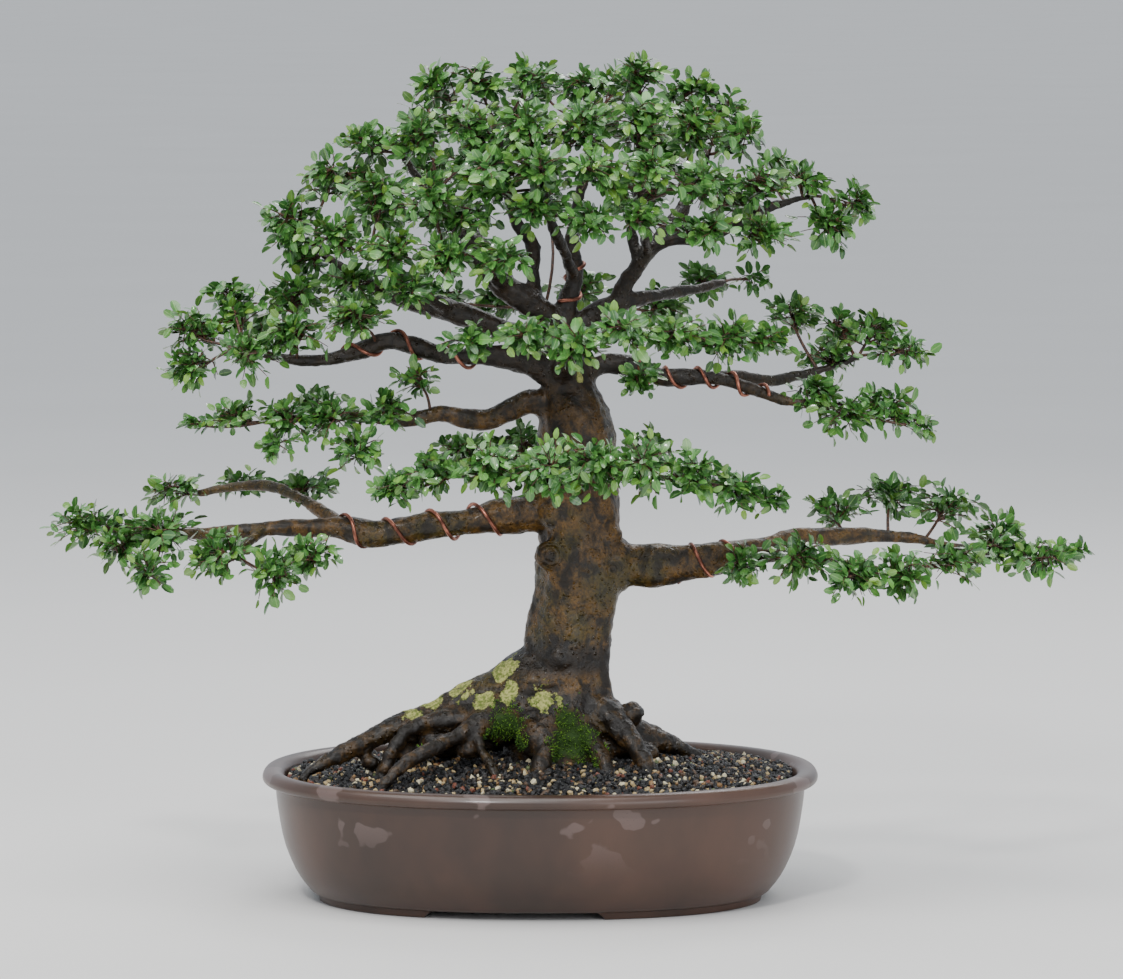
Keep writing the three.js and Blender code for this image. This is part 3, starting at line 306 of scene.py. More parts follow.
# Swellings, knots and scars of the trunk: (x, height, depth, radius, stretch upwards)
TRUNK_LUMPS = [
    (8, 283, -24, 13, 0.95), (60, 276, -6, 20, 1.25), (58, 300, -16, 10, 0.8), (16, 198, -24, 16, 0.7),
    (26, 402, -18, 12, 0.9), (40, 384, -16, 13, 1.0), (16, 378, -16, 11, 1.1), (30, 340, -16, 16, 1.2),
    (12, 318, -14, 14, 0.9), (-8, 176, -14, 22, 0.9), (42, 172, -14, 17, 1.0), (24, 150, -32, 14, 1.3),
    (20, 432, -4, 16, 0.9), (10, 300, 26, 12, 1.2), (34, 250, 28, 14, 1.3), (52, 330, 12, 14, 1.0),
    (-2, 340, 10, 12, 1.0), (-34, 144, -20, 22, 0.8), (-62, 137, -24, 18, 0.7), (-88, 129, -28, 14, 0.7),
    (-112, 119, -34, 11, 0.7), (0, 132, -38, 20, 0.9), (62, 128, -14, 19, 0.8), (86, 118, -12, 13, 0.7),
    (0, 130, 40, 22, 0.8), (-40, 128, 34, 19, 0.8), (56, 128, 36, 19, 0.8), (-140, 111, -36, 9, 0.7),
    (-58, 122, -50, 12, 0.7), (-104, 126, -18, 12, 0.9), (-80, 128, -10, 16, 0.9),
]

# Ringed knots, lichen and moss: the middle (x, height, depth) of each and the radius where it fades out
KNOTS = [(8, 283, -35, 13), (60, 272, -26, 11), (36, 236, -36, 7)]
LICHEN_PATCHES = [
    (-28, 188, -18, 27), (-25, 168, -36, 22), (2, 166, -44, 27), (-62, 168, -14, 26), (-88, 158, -16, 22),
    (-46, 160, -34, 20), (-104, 148, -22, 20), (30, 432, -20, 15),
]
MOSS_PATCHES = [
    (-30, 142, -44, 26), (28, 128, -50, 30), (34, 108, -60, 24), (-24, 126, -52, 22), (10, 120, -48, 20),
    (22, 146, -42, 18), (40, 120, 48, 34), (-30, 130, 50, 34), (60, 130, 20, 26),
]

# Pads of leaves: each spray's pads as (x, height, depth, half width, half height), seen from the front
LEAF_PADS = {
    "left_low_spray_1": [(-368, 307, 0, 34, 17), (-345, 291, -25, 26, 15)],
    "left_low_spray_2": [(-312, 303, -22, 32, 22), (-322, 270, -58, 20, 17)],
    "left_low_spray_3": [(-258, 285, -60, 30, 20), (-217, 270, -80, 20, 22)],
    "left_low_spray_4": [(-187, 283, -58, 25, 15)],
    "left_low_spray_5": [(-296, 338, 70, 28, 13)],
    "left_low_spray_6": [(-245, 344, 90, 25, 10), (-188, 341, 60, 25, 13)],
    "right_low_spray_1": [(168, 276, -40, 20, 15), (213, 281, -60, 28, 18)],
    "right_low_spray_2": [(255, 268, -86, 28, 20)],
    "right_low_spray_3": [(296, 268, -76, 25, 18)],
    "right_low_spray_4": [(412, 282, -10, 28, 15), (440, 287, -5, 14, 7)],
    "right_low_spray_5": [(340, 279, -40, 28, 17), (375, 289, 0, 25, 16), (375, 303, 40, 25, 14)],
    "right_low_spray_6": [(240, 321, 80, 28, 13)],
    "right_low_spray_7": [(288, 332, 95, 30, 15), (334, 325, 75, 30, 16)],
    "front_low_spray_1": [(-118, 338, -92, 22, 14), (-85, 354, -110, 28, 20)],
    "front_low_spray_2": [(-40, 357, -130, 28, 23), (5, 355, -143, 28, 23)],
    "front_low_spray_3": [(45, 359, -146, 28, 23), (85, 357, -138, 28, 22)],
    "front_low_spray_4": [(125, 350, -120, 25, 20), (160, 341, -100, 24, 18), (190, 328, -90, 15, 11)],
    "left_mid_spray_1": [(-250, 398, -18, 25, 13), (-280, 392, -8, 12, 6), (-216, 376, -46, 18, 11)],
    "left_mid_spray_2": [(-205, 395, -38, 24, 17), (-168, 398, -38, 26, 19), (-182, 411, 40, 24, 12)],
    "left_mid_spray_3": [(-150, 370, -56, 21, 18), (-125, 403, -30, 20, 17), (-97, 428, -22, 20, 12)],
    "left_upper_spray_1": [(-284, 469, 0, 24, 20), (-285, 440, -10, 19, 19), (-257, 502, 26, 20, 8)],
    "left_upper_spray_2": [(-240, 450, -40, 25, 18), (-245, 484, 20, 28, 17), (-225, 468, 66, 24, 13)],
    "left_upper_spray_3": [(-200, 465, -50, 28, 19), (-200, 499, 0, 28, 18)],
    "left_upper_spray_4": [(-150, 480, -60, 28, 18), (-150, 508, -20, 28, 17), (-106, 504, -78, 27, 17),
                           (-148, 484, 48, 26, 15)],
    "front_high_spray_1": [(-55, 462, -100, 22, 13), (-15, 464, -116, 25, 16)],
    "front_high_spray_2": [(27, 460, -122, 25, 21), (70, 471, -118, 28, 17), (82, 432, -22, 13, 18)],
    "front_high_spray_3": [(110, 467, -100, 28, 18), (150, 462, -80, 25, 18), (185, 462, -60, 19, 16)],
    "right_upper_spray_1": [(305, 393, -20, 19, 9), (285, 407, -10, 20, 16), (252, 401, -30, 25, 18)],
    "right_upper_spray_2": [(225, 417, -12, 24, 17)],
    "right_upper_spray_3": [(294, 452, 40, 24, 13), (246, 473, 78, 26, 13), (236, 450, 60, 26, 15),
                            (272, 468, 60, 26, 14)],
    "right_upper_spray_4": [(206, 484, 78, 24, 16)],
    "crown_left_spray_1": [(-205, 558, 0, 23, 22), (-190, 528, 16, 21, 15)],
    "crown_left_spray_2": [(-165, 545, -50, 27, 19), (-120, 535, -90, 28, 19)],
    "crown_left_spray_3": [(-75, 530, -108, 28, 19), (-30, 530, -112, 26, 16), (-64, 562, -74, 26, 16)],
    "crown_left_spray_4": [(-172, 594, 0, 24, 19), (-140, 623, 0, 24, 17), (-100, 625, -48, 25, 20)],
    "crown_left_spray_5": [(-130, 580, -60, 27, 21), (-88, 577, -88, 25, 18), (-52, 604, -60, 26, 18)],
    "crown_top_spray_1": [(-83, 668, -10, 21, 18), (-50, 673, -28, 24, 17), (-55, 635, -78, 27, 22)],
    "crown_top_spray_2": [(-10, 673, -36, 24, 16), (35, 670, -36, 24, 16), (-10, 635, -88, 28, 22)],
    "crown_top_spray_3": [(80, 676, -20, 24, 18), (80, 640, -78, 28, 22), (35, 638, -88, 28, 22)],
    "crown_front_spray_1": [(-40, 602, -106, 24, 14), (0, 602, -114, 27, 18), (45, 600, -114, 27, 18)],
    "crown_front_spray_2": [(40, 558, -106, 24, 16), (-6, 570, -92, 26, 16), (-38, 586, -84, 24, 16)],
    "crown_right_spray_1": [(120, 664, 0, 24, 17), (153, 653, 8, 18, 11), (163, 629, -20, 22, 18),
                            (125, 635, -50, 27, 22)],
    "crown_right_spray_2": [(90, 600, -106, 27, 20), (134, 590, -78, 27, 20), (80, 562, -110, 24, 16)],
    "crown_right_spray_3": [(130, 551, -86, 26, 16), (178, 549, -58, 27, 17), (178, 590, -40, 27, 19)],
    "crown_right_spray_4": [(235, 556, -18, 24, 18), (256, 575, 0, 19, 15), (213, 590, -14, 21, 14)],
    "back_low_spray": [(-62, 370, 130, 26, 15), (-14, 376, 146, 26, 15)],
    "back_low_right_spray": [(88, 371, 142, 26, 15), (38, 378, 150, 26, 15)],
    "back_high_spray": [(-32, 494, 128, 26, 17), (34, 505, 138, 26, 15), (98, 490, 130, 26, 16),
                        (132, 510, 116, 28, 14), (174, 514, 108, 15, 9), (-90, 498, 110, 26, 16)],
    "back_crown_left_spray": [(-130, 566, 100, 26, 19), (-84, 604, 116, 26, 19), (-150, 596, 70, 24, 17),
                              (-76, 566, 138, 27, 18), (-90, 640, 80, 25, 18), (-20, 640, 106, 27, 19),
                              (4, 578, 150, 27, 18)],
    "back_crown_right_spray": [(160, 574, 100, 26, 18), (96, 616, 112, 26, 19), (80, 578, 144, 27, 18),
                               (48, 640, 104, 27, 19), (124, 640, 76, 25, 18), (0, 668, 48, 24, 16),
                               (60, 668, 48, 24, 16), (190, 600, 60, 22, 15)],
}


def unit(vectors):
    """Vectors scaled to length 1 along the last axis."""
    return vectors / np.maximum(np.linalg.norm(vectors, axis=-1, keepdims=True), 1e-12)


def place_seen(points):
    """Measured places (x, height, depth) as true ones: each lies on the line from the measuring eye
    through (x, 0, height), at its depth behind that plane."""
    points = np.asarray(points, float)
    on_plane = np.stack([points[..., 0], np.zeros(points.shape[:-1]), points[..., 1]], -1)
    reach = 1 + points[..., 2:3] / -MEASURING_EYE[1]
    return MEASURING_EYE + (on_plane - MEASURING_EYE) * reach


def to_row(points):
    """Places about the pot's middle in millimetres, as places in the row frame in metres."""
    return points * MM + POT_CENTRE


def smooth_path(points, values, step):
    """A centripetal Catmull-Rom curve through the points: between two points it is the cubic Hermite
    curve whose tangents come from the neighbours, with each span's time the root of its length.
    Sampled evenly by length, with the values interpolated along it."""
    points = np.asarray(points, float)
    padded = np.vstack([2 * points[0] - points[1], points, 2 * points[-1] - points[-2]])
    spans = np.maximum(np.linalg.norm(np.diff(padded, axis=0), axis=1, keepdims=True), 1e-6) ** 0.5
    slope = np.diff(padded, axis=0) / spans
    across = (padded[2:] - padded[:-2]) / (spans[1:] + spans[:-1])
    tangent = slope[:-1] - across + slope[1:]
    start, end = padded[1:-2], padded[2:-1]
    leave = tangent[:-1] * spans[1:-1]
    arrive = tangent[1:] * spans[1:-1]
    t = np.linspace(0, 1, SPAN_STEPS, endpoint=False)[None, :, None]
    basis = (2 * t**3 - 3 * t**2 + 1, t**3 - 2 * t**2 + t, -2 * t**3 + 3 * t**2, t**3 - t**2)
    curve = sum(b * p[:, None, :] for b, p in zip(basis, (start, leave, end, arrive)))
    curve = np.vstack([curve.reshape(-1, 3), points[-1:]])
    knots = np.append((np.arange(len(points) - 1)[:, None] + t[0, :, 0]).ravel(), len(points) - 1)
    lengths = np.append(0, np.cumsum(np.linalg.norm(np.diff(curve, axis=0), axis=1)))
    count = max(3, int(round(lengths[-1] / step)) + 1)
    even = np.linspace(0, lengths[-1], count)
    sampled = np.stack([np.interp(even, lengths, curve[:, axis]) for axis in range(3)], -1)
    place = np.interp(even, lengths, knots)
    return sampled, np.interp(place, np.arange(len(points)), np.asarray(values, float))


def section_axes(paths):
    """Two axes across each path. The first is square to the tangent and to the direction in which the
    path spreads least, so that it never turns over along the path."""
    tangents = unit(np.gradient(paths, axis=-2))
    spread = paths - paths.mean(-2, keepdims=True)
    _, vectors = np.linalg.eigh(np.einsum("...ki,...kj->...ij", spread, spread))
    flat_way = vectors[..., :, 0][..., None, :]
    first = unit(np.cross(tangents, flat_way))
    return tangents, first, np.cross(tangents, first)


def ring_faces(steps, sides):
    """The quads between rings of points, and the triangles that close the first and last ring on a
    point each. Those two points come after all the rings."""
    ring = np.arange(sides)
    after = (ring + 1) % sides
    rows = np.arange(steps - 1)[:, None] * sides
    quads = np.stack([rows + ring, rows + after, rows + sides + after, rows + sides + ring], -1)
    foot, last = steps * sides, (steps - 1) * sides
    caps = np.concatenate([
        np.stack([np.full(sides, foot), after, ring], -1),
        np.stack([np.full(sides, foot + 1), last + ring, last + after], -1),
    ])
    return quads.reshape(-1, 4), caps


def tubes(paths, radii, sides, swell=1.0):
    """Closed tubes along many paths of equal point count. Ring k of a tube is its path's point k plus
    radius * (cos a * first axis + sin a * second axis), and each end closes on a point set out by
    0.7 of the end's radius. swell gives a factor for each ring and angle."""
    tangents, first, second = section_axes(paths)
    angles = np.arange(sides) / sides * 2 * np.pi
    factor = radii[..., None] * np.broadcast_to(swell, (*radii.shape, sides))
    rings = paths[..., None, :] + factor[..., None] * (
        np.cos(angles)[:, None] * first[..., None, :] + np.sin(angles)[:, None] * second[..., None, :]
    )
    count, steps = paths.shape[:2]
    ends = np.stack([
        paths[:, 0] - tangents[:, 0] * radii[:, :1] * 0.7,
        paths[:, -1] + tangents[:, -1] * radii[:, -1:] * 0.7,
    ], 1)
    vertices = np.concatenate([rings.reshape(count, -1, 3), ends], 1)
    quads, caps = ring_faces(steps, sides)
    shift = (np.arange(count) * (steps * sides + 2))[:, None, None]
    return vertices.reshape(-1, 3), (quads + shift).reshape(-1, 4), (caps + shift).reshape(-1, 3)


def mesh_from(name, vertices, quads=None, triangles=None):
    """A mesh object from arrays of places in the row frame, quads and triangles."""
    quads = np.zeros((0, 4), int) if quads is None else quads
    triangles = np.zeros((0, 3), int) if triangles is None else triangles.reshape(-1, 3)
    corners = np.concatenate([quads.ravel(), triangles.ravel()])
    sizes = np.concatenate([np.full(len(quads), 4), np.full(len(triangles), 3)])
    mesh = bpy.data.meshes.new(name)
    mesh.vertices.add(len(vertices))
    mesh.vertices.foreach_set("co", np.ascontiguousarray(vertices, np.float32).ravel())
    mesh.loops.add(len(corners))
    mesh.loops.foreach_set("vertex_index", corners.astype(np.int32))
    mesh.polygons.add(len(sizes))
    mesh.polygons.foreach_set("loop_start", np.append(0, np.cumsum(sizes)[:-1]).astype(np.int32))
    mesh.update(calc_edges=True)
    mesh.validate()
    mesh.shade_smooth()
    piece = bpy.data.objects.new(name, mesh)
    bpy.context.scene.collection.objects.link(piece)
    return piece


def add_values(piece, name, values):
    """A number for each vertex, which a material can read by name."""
    attribute = piece.data.attributes.new(name, "FLOAT", "POINT")
    attribute.data.foreach_set("value", np.ascontiguousarray(values, np.float32))


def finish_piece(piece, material, slot, *nodes):
    """Gives a piece its material and its body, and takes it for the CAD nodes it replaces. The slot is not
    used.
    """
    piece.data.materials.clear()
    piece.data.materials.append(material)
    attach(piece, "root")
    if nodes:
        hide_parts(*nodes)


def shaped_mesh(piece, *modifiers):
    """The piece with its modifiers worked into its mesh. Each modifier is (type, {setting: value})."""
    for kind, settings in modifiers:
        modifier = piece.modifiers.new(kind.title(), kind)
        for setting, value in settings.items():
            setattr(modifier, setting, value)
    evaluated = piece.evaluated_get(bpy.context.evaluated_depsgraph_get())
    mesh = bpy.data.meshes.new_from_object(evaluated)
    name = piece.name
    bpy.data.objects.remove(piece)
    shaped = bpy.data.objects.new(name, mesh)
    bpy.context.scene.collection.objects.link(shaped)
    mesh.shade_smooth()
    return shaped


def vertices_of(piece):
    """A piece's vertices and their normals as arrays."""
    mesh = piece.data
    places = np.empty(len(mesh.vertices) * 3, np.float32)
    normals = np.empty(len(mesh.vertices) * 3, np.float32)
    mesh.vertices.foreach_get("co", places)
    mesh.vertices.foreach_get("normal", normals)
    return places.reshape(-1, 3).astype(float), normals.reshape(-1, 3).astype(float)


def ripple(points, scale, seed, octaves=3):
    """Smooth noise from -1 to 1: sums of sine waves in random directions, each octave finer and weaker."""
    random = np.random.default_rng(seed)
    total = np.zeros(points.shape[:-1])
    weight = 0
    for octave in range(octaves):
        waves = unit(random.normal(size=(7, 3))) * 2 * np.pi / scale * 2**octave
        phases = random.uniform(0, 2 * np.pi, 7)
        total += np.sin(points @ waves.T + phases).mean(-1) * 0.6**octave
        weight += 0.6**octave
    return total * 2.2 / weight


# Shader maths
class Value:
    """A shader socket or a plain number. Python's operators on it add Math nodes."""

    def __init__(self, shader, socket):
        self.shader = shader
        self.socket = socket

    def maths(self, operation, *others):
        inputs = dict(enumerate((self, *others)))
        return self.shader.node("ShaderNodeMath", {"operation": operation}, inputs)[0]

    def __add__(self, other):
        return self.maths("ADD", other)

    __radd__ = __add__

    def __sub__(self, other):
        return self.maths("SUBTRACT", other)

    def __rsub__(self, other):
        return Value(self.shader, other).maths("SUBTRACT", self)

    def __mul__(self, other):
        return self.maths("MULTIPLY", other)

    __rmul__ = __mul__

    def step(self, low, high):
        """0 below low, 1 above high, and a smooth rise between."""
        settings = {"interpolation_type": "SMOOTHSTEP"}
        return self.shader.node("ShaderNodeMapRange", settings, {0: self, 1: low, 2: high})[0]


class Shader:
    """A Principled material made of nodes."""

    def __init__(self, name, roughness=0.5, metallic=0.0, **constants):
        self.material = bpy.data.materials.new(name)
        self.material.use_nodes = True
        self.tree = self.material.node_tree
        self.surface = self.tree.nodes["Principled BSDF"]
        for socket, value in {"Roughness": roughness, "Metallic": metallic, **constants}.items():
            self.surface.inputs[socket.replace("_", " ")].default_value = value

    def node(self, kind, settings=None, inputs=None):
        """A node of a type, with its settings and then its sockets' values or links. Returns its
        outputs as a list of Values."""
        node = self.tree.nodes.new(kind)
        for setting, value in (settings or {}).items():
            if setting == "stops":
                ramp = node.color_ramp
                ramp.interpolation = "CONSTANT"
                while len(ramp.elements) < len(value):
                    ramp.elements.new(1.0)
                for element, (position, colour) in zip(ramp.elements, value):
                    element.position = position
                    element.color = (*colour, 1.0)
            else:
                setattr(node, setting, value)
        for socket, value in (inputs or {}).items():
            self.feed(node.inputs[socket], value)
        return [Value(self, output) for output in node.outputs]

    def feed(self, socket, value):
        """Links a Value to the socket, or sets the socket to a number, vector or colour."""
        if isinstance(value, Value):
            value = value.socket
        if isinstance(value, bpy.types.NodeSocket):
            self.tree.links.new(value, socket)
        elif socket.type == "RGBA":
            socket.default_value = (*value, 1.0)
        else:
            socket.default_value = value

    def set(self, **sockets):
        """Feeds the surface's sockets and returns the finished material."""
        for socket, value in sockets.items():
            self.feed(self.surface.inputs[socket.replace("_", " ")], value)
        return self.material

    def place(self, scale=(1, 1, 1)):
        """Object coordinates times a scale."""
        inputs = {0: self.node("ShaderNodeTexCoord")[3], 1: scale}
        return self.node("ShaderNodeVectorMath", {"operation": "MULTIPLY"}, inputs)[0]

    def noise(self, place, scale, detail=3.0, roughness=0.5, distortion=0.0):
        return self.node("ShaderNodeTexNoise", None, {
            "Vector": place, "Scale": scale, "Detail": detail, "Roughness": roughness,
            "Distortion": distortion,
        })[0]

    def cells(self, place, scale):
        """The distance to the middle of the nearest of many scattered cells."""
        return self.node("ShaderNodeTexVoronoi", None, {"Vector": place, "Scale": scale})[0]

    def mix(self, one, other, factor):
        """Colour one where the factor is 0, and the other where it is 1."""
        return self.node("ShaderNodeMix", {"data_type": "RGBA"}, {0: factor, 6: one, 7: other})[2]

    def bands(self, factor, stops):
        """The colour of the last stop that the factor has reached."""
        return self.node("ShaderNodeValToRGB", {"stops": stops}, {0: factor})[0]

    def attribute(self, name):
        return self.node("ShaderNodeAttribute", {"attribute_name": name})[2]

    def bump(self, height, strength, distance):
        inputs = {"Height": height, "Strength": strength, "Distance": distance}
        return self.node("ShaderNodeBump", None, inputs)[0]


def srgb(red, green, blue):
    """A display colour of 0 to 255 as the linear colour that shaders use."""
    value = np.array([red, green, blue]) / 255
    return tuple(np.where(value <= 0.04045, value / 12.92, ((value + 0.055) / 1.055) ** 2.4))


def brown_glaze():
    """Satin brown glaze: soft clouds where it runs thicker or thinner, fine specks, and pale patches of
    dried water on the upper half."""
    shader = Shader("brown glaze", Coat_Weight=0.2, Coat_Roughness=0.14)
    height_up = shader.node("ShaderNodeSeparateXYZ", None, {0: shader.place()})[2]
    runs = shader.noise(shader.place((9, 9, 5)), 1.0, 4.0, 0.55)
    film = shader.noise(shader.place((17, 17, 20)), 1.0, 3.0, 0.5)
    dried = film.step(0.575, 0.59) * height_up.step(0.035, 0.09)
    speck = shader.noise(shader.place(), 700.0, 2.0)
    colour = shader.mix(srgb(45, 30, 22), srgb(74, 49, 36), runs.step(0.3, 0.72))
    colour = shader.mix(colour, srgb(120, 102, 98), dried * 0.4)
    colour = shader.mix(colour, srgb(48, 35, 29), speck.step(0.6, 0.75) * 0.3)
    return shader.set(
        Base_Color=colour,
        Roughness=runs * 0.1 + film * 0.14 + 0.26,
        Normal=shader.bump(speck * 0.5 + film * 0.5, 0.1, 0.0004),
    )


def damp_bed():
    """The dark bed under the loose grains."""
    shader = Shader("damp bed", roughness=0.85)
    grain = shader.noise(shader.place(), 420.0, 4.0)
    colour = shader.mix(srgb(20, 18, 16), srgb(52, 44, 37), grain.step(0.4, 0.7))
    return shader.set(Base_Color=colour, Normal=shader.bump(grain, 0.6, 0.002))


def lava_grit():
    """Loose grit: mostly near-black lava, with cream pumice, ochre and brick-red clay."""
    shader = Shader("lava grit")
    tone = shader.attribute("tone")
    pore = shader.noise(shader.place(), 1400.0, 3.0)
    colour = shader.bands(tone, [
        (0.0, srgb(18, 18, 20)), (0.45, srgb(28, 27, 28)), (0.66, srgb(46, 40, 36)),
        (0.76, srgb(80, 60, 43)), (0.82, srgb(136, 104, 66)), (0.855, srgb(112, 62, 44)),
        (0.875, srgb(176, 154, 110)), (0.935, srgb(206, 194, 160)), (0.985, srgb(90, 100, 62)),
    ])
    colour = shader.mix(colour, srgb(18, 15, 13), pore.step(0.5, 0.75) * 0.55)
    return shader.set(
        Base_Color=colour,
        Roughness=pore * 0.5 + 0.2,
        Normal=shader.bump(pore, 0.7, 0.0008),
    )


def wet_bark():
    """Wet elm bark: amber and olive brown with small dark plates, ringed knots, a dark band above the
    root flare, rough dark roots, nearly black limbs in the crown, lichen, moss green and wet glints."""
    shader = Shader("wet bark", Coat_Roughness=0.1, Specular_IOR_Level=0.36)
    place = shader.place()
    broad = shader.noise(place, 22.0, 4.0, 0.6)
    plates = shader.noise(shader.place((1, 1, 0.8)), 95.0, 5.0, 0.62, 0.5)
    fine = shader.noise(place, 420.0, 4.0, 0.6)
    beads = shader.cells(place, 240.0)
    height_up = shader.node("ShaderNodeSeparateXYZ", None, {0: place})[2]
    wander = height_up + plates * 0.03
    colour = shader.mix(srgb(38, 27, 12), srgb(99, 70, 27), plates.step(0.36, 0.68))
    colour = shader.mix(colour, srgb(60, 56, 17), broad.step(0.46, 0.66) * 0.65)
    colour = shader.mix(colour, srgb(28, 21, 14), plates.step(0.5, 0.36) * 0.75)
    band = wander.step(0.2, 0.21) * wander.step(0.238, 0.224)
    roots = wander.step(0.2, 0.185)
    colour = shader.mix(colour, srgb(20, 17, 16), band * 0.85)
    colour = shader.mix(colour, srgb(50, 36, 21), roots * 0.7)
    colour = shader.mix(colour, srgb(17, 13, 9), roots * plates.step(0.6, 0.44) * 0.85)
    colour = shader.mix(colour, srgb(26, 20, 16), height_up.step(0.38, 0.44) * 0.85)
    colour = shader.mix(colour, srgb(20, 15, 10), fine.step(0.54, 0.38) * 0.55)
    knot = shader.attribute("knot")
    rings = ((knot * 18 + plates * 7).maths("SINE") * 0.5 + 0.5) * knot.step(0.0, 0.3)
    colour = shader.mix(colour, srgb(14, 11, 9), (rings * 0.45 + knot.step(0.55, 0.8)).step(0.2, 0.9) * 0.75)
    spread = shader.noise(place, 80.0, 5.0, 0.65)
    lichen = shader.attribute("lichen")
    pale = (lichen * 0.7 + spread * 0.95).step(0.83, 0.88)
    crust = shader.mix(srgb(100, 114, 46), srgb(180, 178, 108), (fine * 0.7 + plates * 0.3).step(0.4, 0.6))
    colour = shader.mix(colour, crust, pale * 0.92)
    green = shader.attribute("moss")
    colour = shader.mix(colour, srgb(36, 62, 10), (green * 0.9 + spread * 0.6).step(0.66, 0.86) * 0.95)
    dry = pale.maths("MAXIMUM", green.step(0.2, 0.5))
    wet = (plates * 0.5 + broad * 0.5).step(0.42, 0.56) * (1 - dry)
    drop = beads.step(0.4, 0.24) * wet
    relief = plates * 0.6 + fine * 0.3 + beads.step(0.42, 0.0) * wet * 0.5 + pale * 0.25 - rings * 0.25
    return shader.set(
        Base_Color=colour,
        Coat_Weight=wet * 0.06,
        Roughness=fine * 0.25 + dry * 0.35 - wet * 0.08 - drop * 0.22 + 0.32,
        Normal=shader.bump(relief, 1.0, 0.0022),
    )


def twig_bark():
    """Thin reddish brown bark of this year's twigs."""
    shader = Shader("twig bark", roughness=0.45)
    fine = shader.noise(shader.place(), 600.0, 3.0)
    colour = shader.mix(srgb(50, 33, 26), srgb(104, 68, 48), fine.step(0.4, 0.66))
    return shader.set(Base_Color=colour, Normal=shader.bump(fine, 0.5, 0.0006))


def elm_leaf():
    """Glossy elm leaf: a paler midrib with side veins, deep green to fresh yellow green by age, and a
    blade that shines unevenly where it is wet."""
    shader = Shader("elm leaf", Coat_Weight=0.6, Coat_Roughness=0.1)
    uv = shader.node("ShaderNodeSeparateXYZ", None, {0: shader.node("ShaderNodeUVMap")[0]})
    across, along = uv[0], uv[1]
    side = (across - 0.5).maths("ABSOLUTE") * 2
    vein_place = (along - side * 0.22) * 9
    vein = (vein_place.maths("FRACT") - 0.5).maths("ABSOLUTE").step(0.1, 0.0)
    midrib = side.step(0.14, 0.02)
    tone, age = shader.attribute("tone"), shader.attribute("age")
    mottle = shader.noise(shader.place(), 160.0, 2.0)
    colour = shader.mix(srgb(30, 76, 28), srgb(88, 146, 64), tone)
    colour = shader.mix(colour, srgb(136, 172, 54), age * 0.9)
    colour = shader.mix(colour, srgb(34, 86, 44), mottle.step(0.45, 0.7) * 0.35)
    colour = shader.mix(colour, srgb(132, 176, 94), midrib * 0.55 + vein * 0.16)
    relief = vein * 0.5 + midrib
    return shader.set(
        Base_Color=colour,
        Roughness=mottle * 0.22 + 0.2,
        Normal=shader.bump(relief, 0.4, 0.0003),
    )


def annealed_copper():
    """Annealed copper wire, pinkish with brown tarnish."""
    shader = Shader("annealed copper", metallic=0.9)
    tarnish = shader.noise(shader.place(), 90.0, 4.0)
    colour = shader.mix(srgb(182, 118, 98), srgb(104, 64, 52), tarnish.step(0.38, 0.64))
    return shader.set(Base_Color=colour, Roughness=tarnish * 0.3 + 0.22)


def screen_plastic():
    """Dark plastic mesh."""
    shader = Shader("screen plastic", roughness=0.55)
    wear = shader.noise(shader.place(), 300.0, 2.0)
    return shader.set(Base_Color=shader.mix(srgb(24, 26, 30), srgb(44, 48, 54), wear))


def living_moss():
    """Short bright moss."""
    shader = Shader("living moss", roughness=0.8)
    patch = shader.noise(shader.place(), 180.0, 3.0)
    tone = shader.attribute("tone")
    colour = shader.mix(srgb(40, 76, 14), srgb(104, 146, 34), (patch * 0.5 + tone * 0.5).step(0.3, 0.75))
    return shader.set(Base_Color=colour)


def pale_floor():
    """Plain pale floor."""
    shader = Shader("pale floor", roughness=0.9)
    grain = shader.noise(shader.place(), 2.0, 2.0)
    return shader.set(Base_Color=shader.mix(srgb(214, 212, 209), srgb(221, 219, 216), grain))


# Pot
def oval(angle, inset):
    """Points of the pot's oval in the directions of the angles, in millimetres: the superellipse of the
    rim, moved inwards along its normal by the inset, and past INNER_INSET shrunk towards the middle."""
    cos, sin = np.cos(angle), np.sin(angle)
    power = 2 / POT_ROUNDNESS
    x = POT_LENGTH / 2 * np.sign(cos) * np.abs(cos) ** power
    y = POT_DEPTH / 2 * np.sign(sin) * np.abs(sin) ** power
    normal = unit(np.stack([
        np.sign(x) * (2 * np.abs(x) / POT_LENGTH) ** (POT_ROUNDNESS - 1) / POT_LENGTH,
        np.sign(y) * (2 * np.abs(y) / POT_DEPTH) ** (POT_ROUNDNESS - 1) / POT_DEPTH,
    ], -1))
    step = np.minimum(inset, INNER_INSET)
    shrink = 1 - np.maximum(0, inset - INNER_INSET) / (POT_DEPTH / 2 - INNER_INSET)
    return (np.stack([x, y], -1) - normal * step[..., None]) * shrink[..., None]


def rounded_profile(corners, steps):
    """A profile of (inset, height, corner radius) with each corner as a quadratic curve that leaves
    its two sides at the radius from the corner, or at 0.45 of a side if that is shorter."""
    corners = np.asarray(corners, float)
    points, radius = corners[:, :2], corners[:, 2:]
    before, after = points[:-2] - points[1:-1], points[2:] - points[1:-1]
    cut_before = np.minimum(radius[1:-1], 0.45 * np.linalg.norm(before, axis=1, keepdims=True))
    cut_after = np.minimum(radius[1:-1], 0.45 * np.linalg.norm(after, axis=1, keepdims=True))
    start = points[1:-1] + unit(before) * cut_before
    end = points[1:-1] + unit(after) * cut_after
    t = np.linspace(0, 1, steps)[None, :, None]
    curve = (1 - t) ** 2 * start[:, None] + 2 * t * (1 - t) * points[1:-1][:, None] + t**2 * end[:, None]
    return np.vstack([points[:1], curve.reshape(-1, 2), points[-1:]])


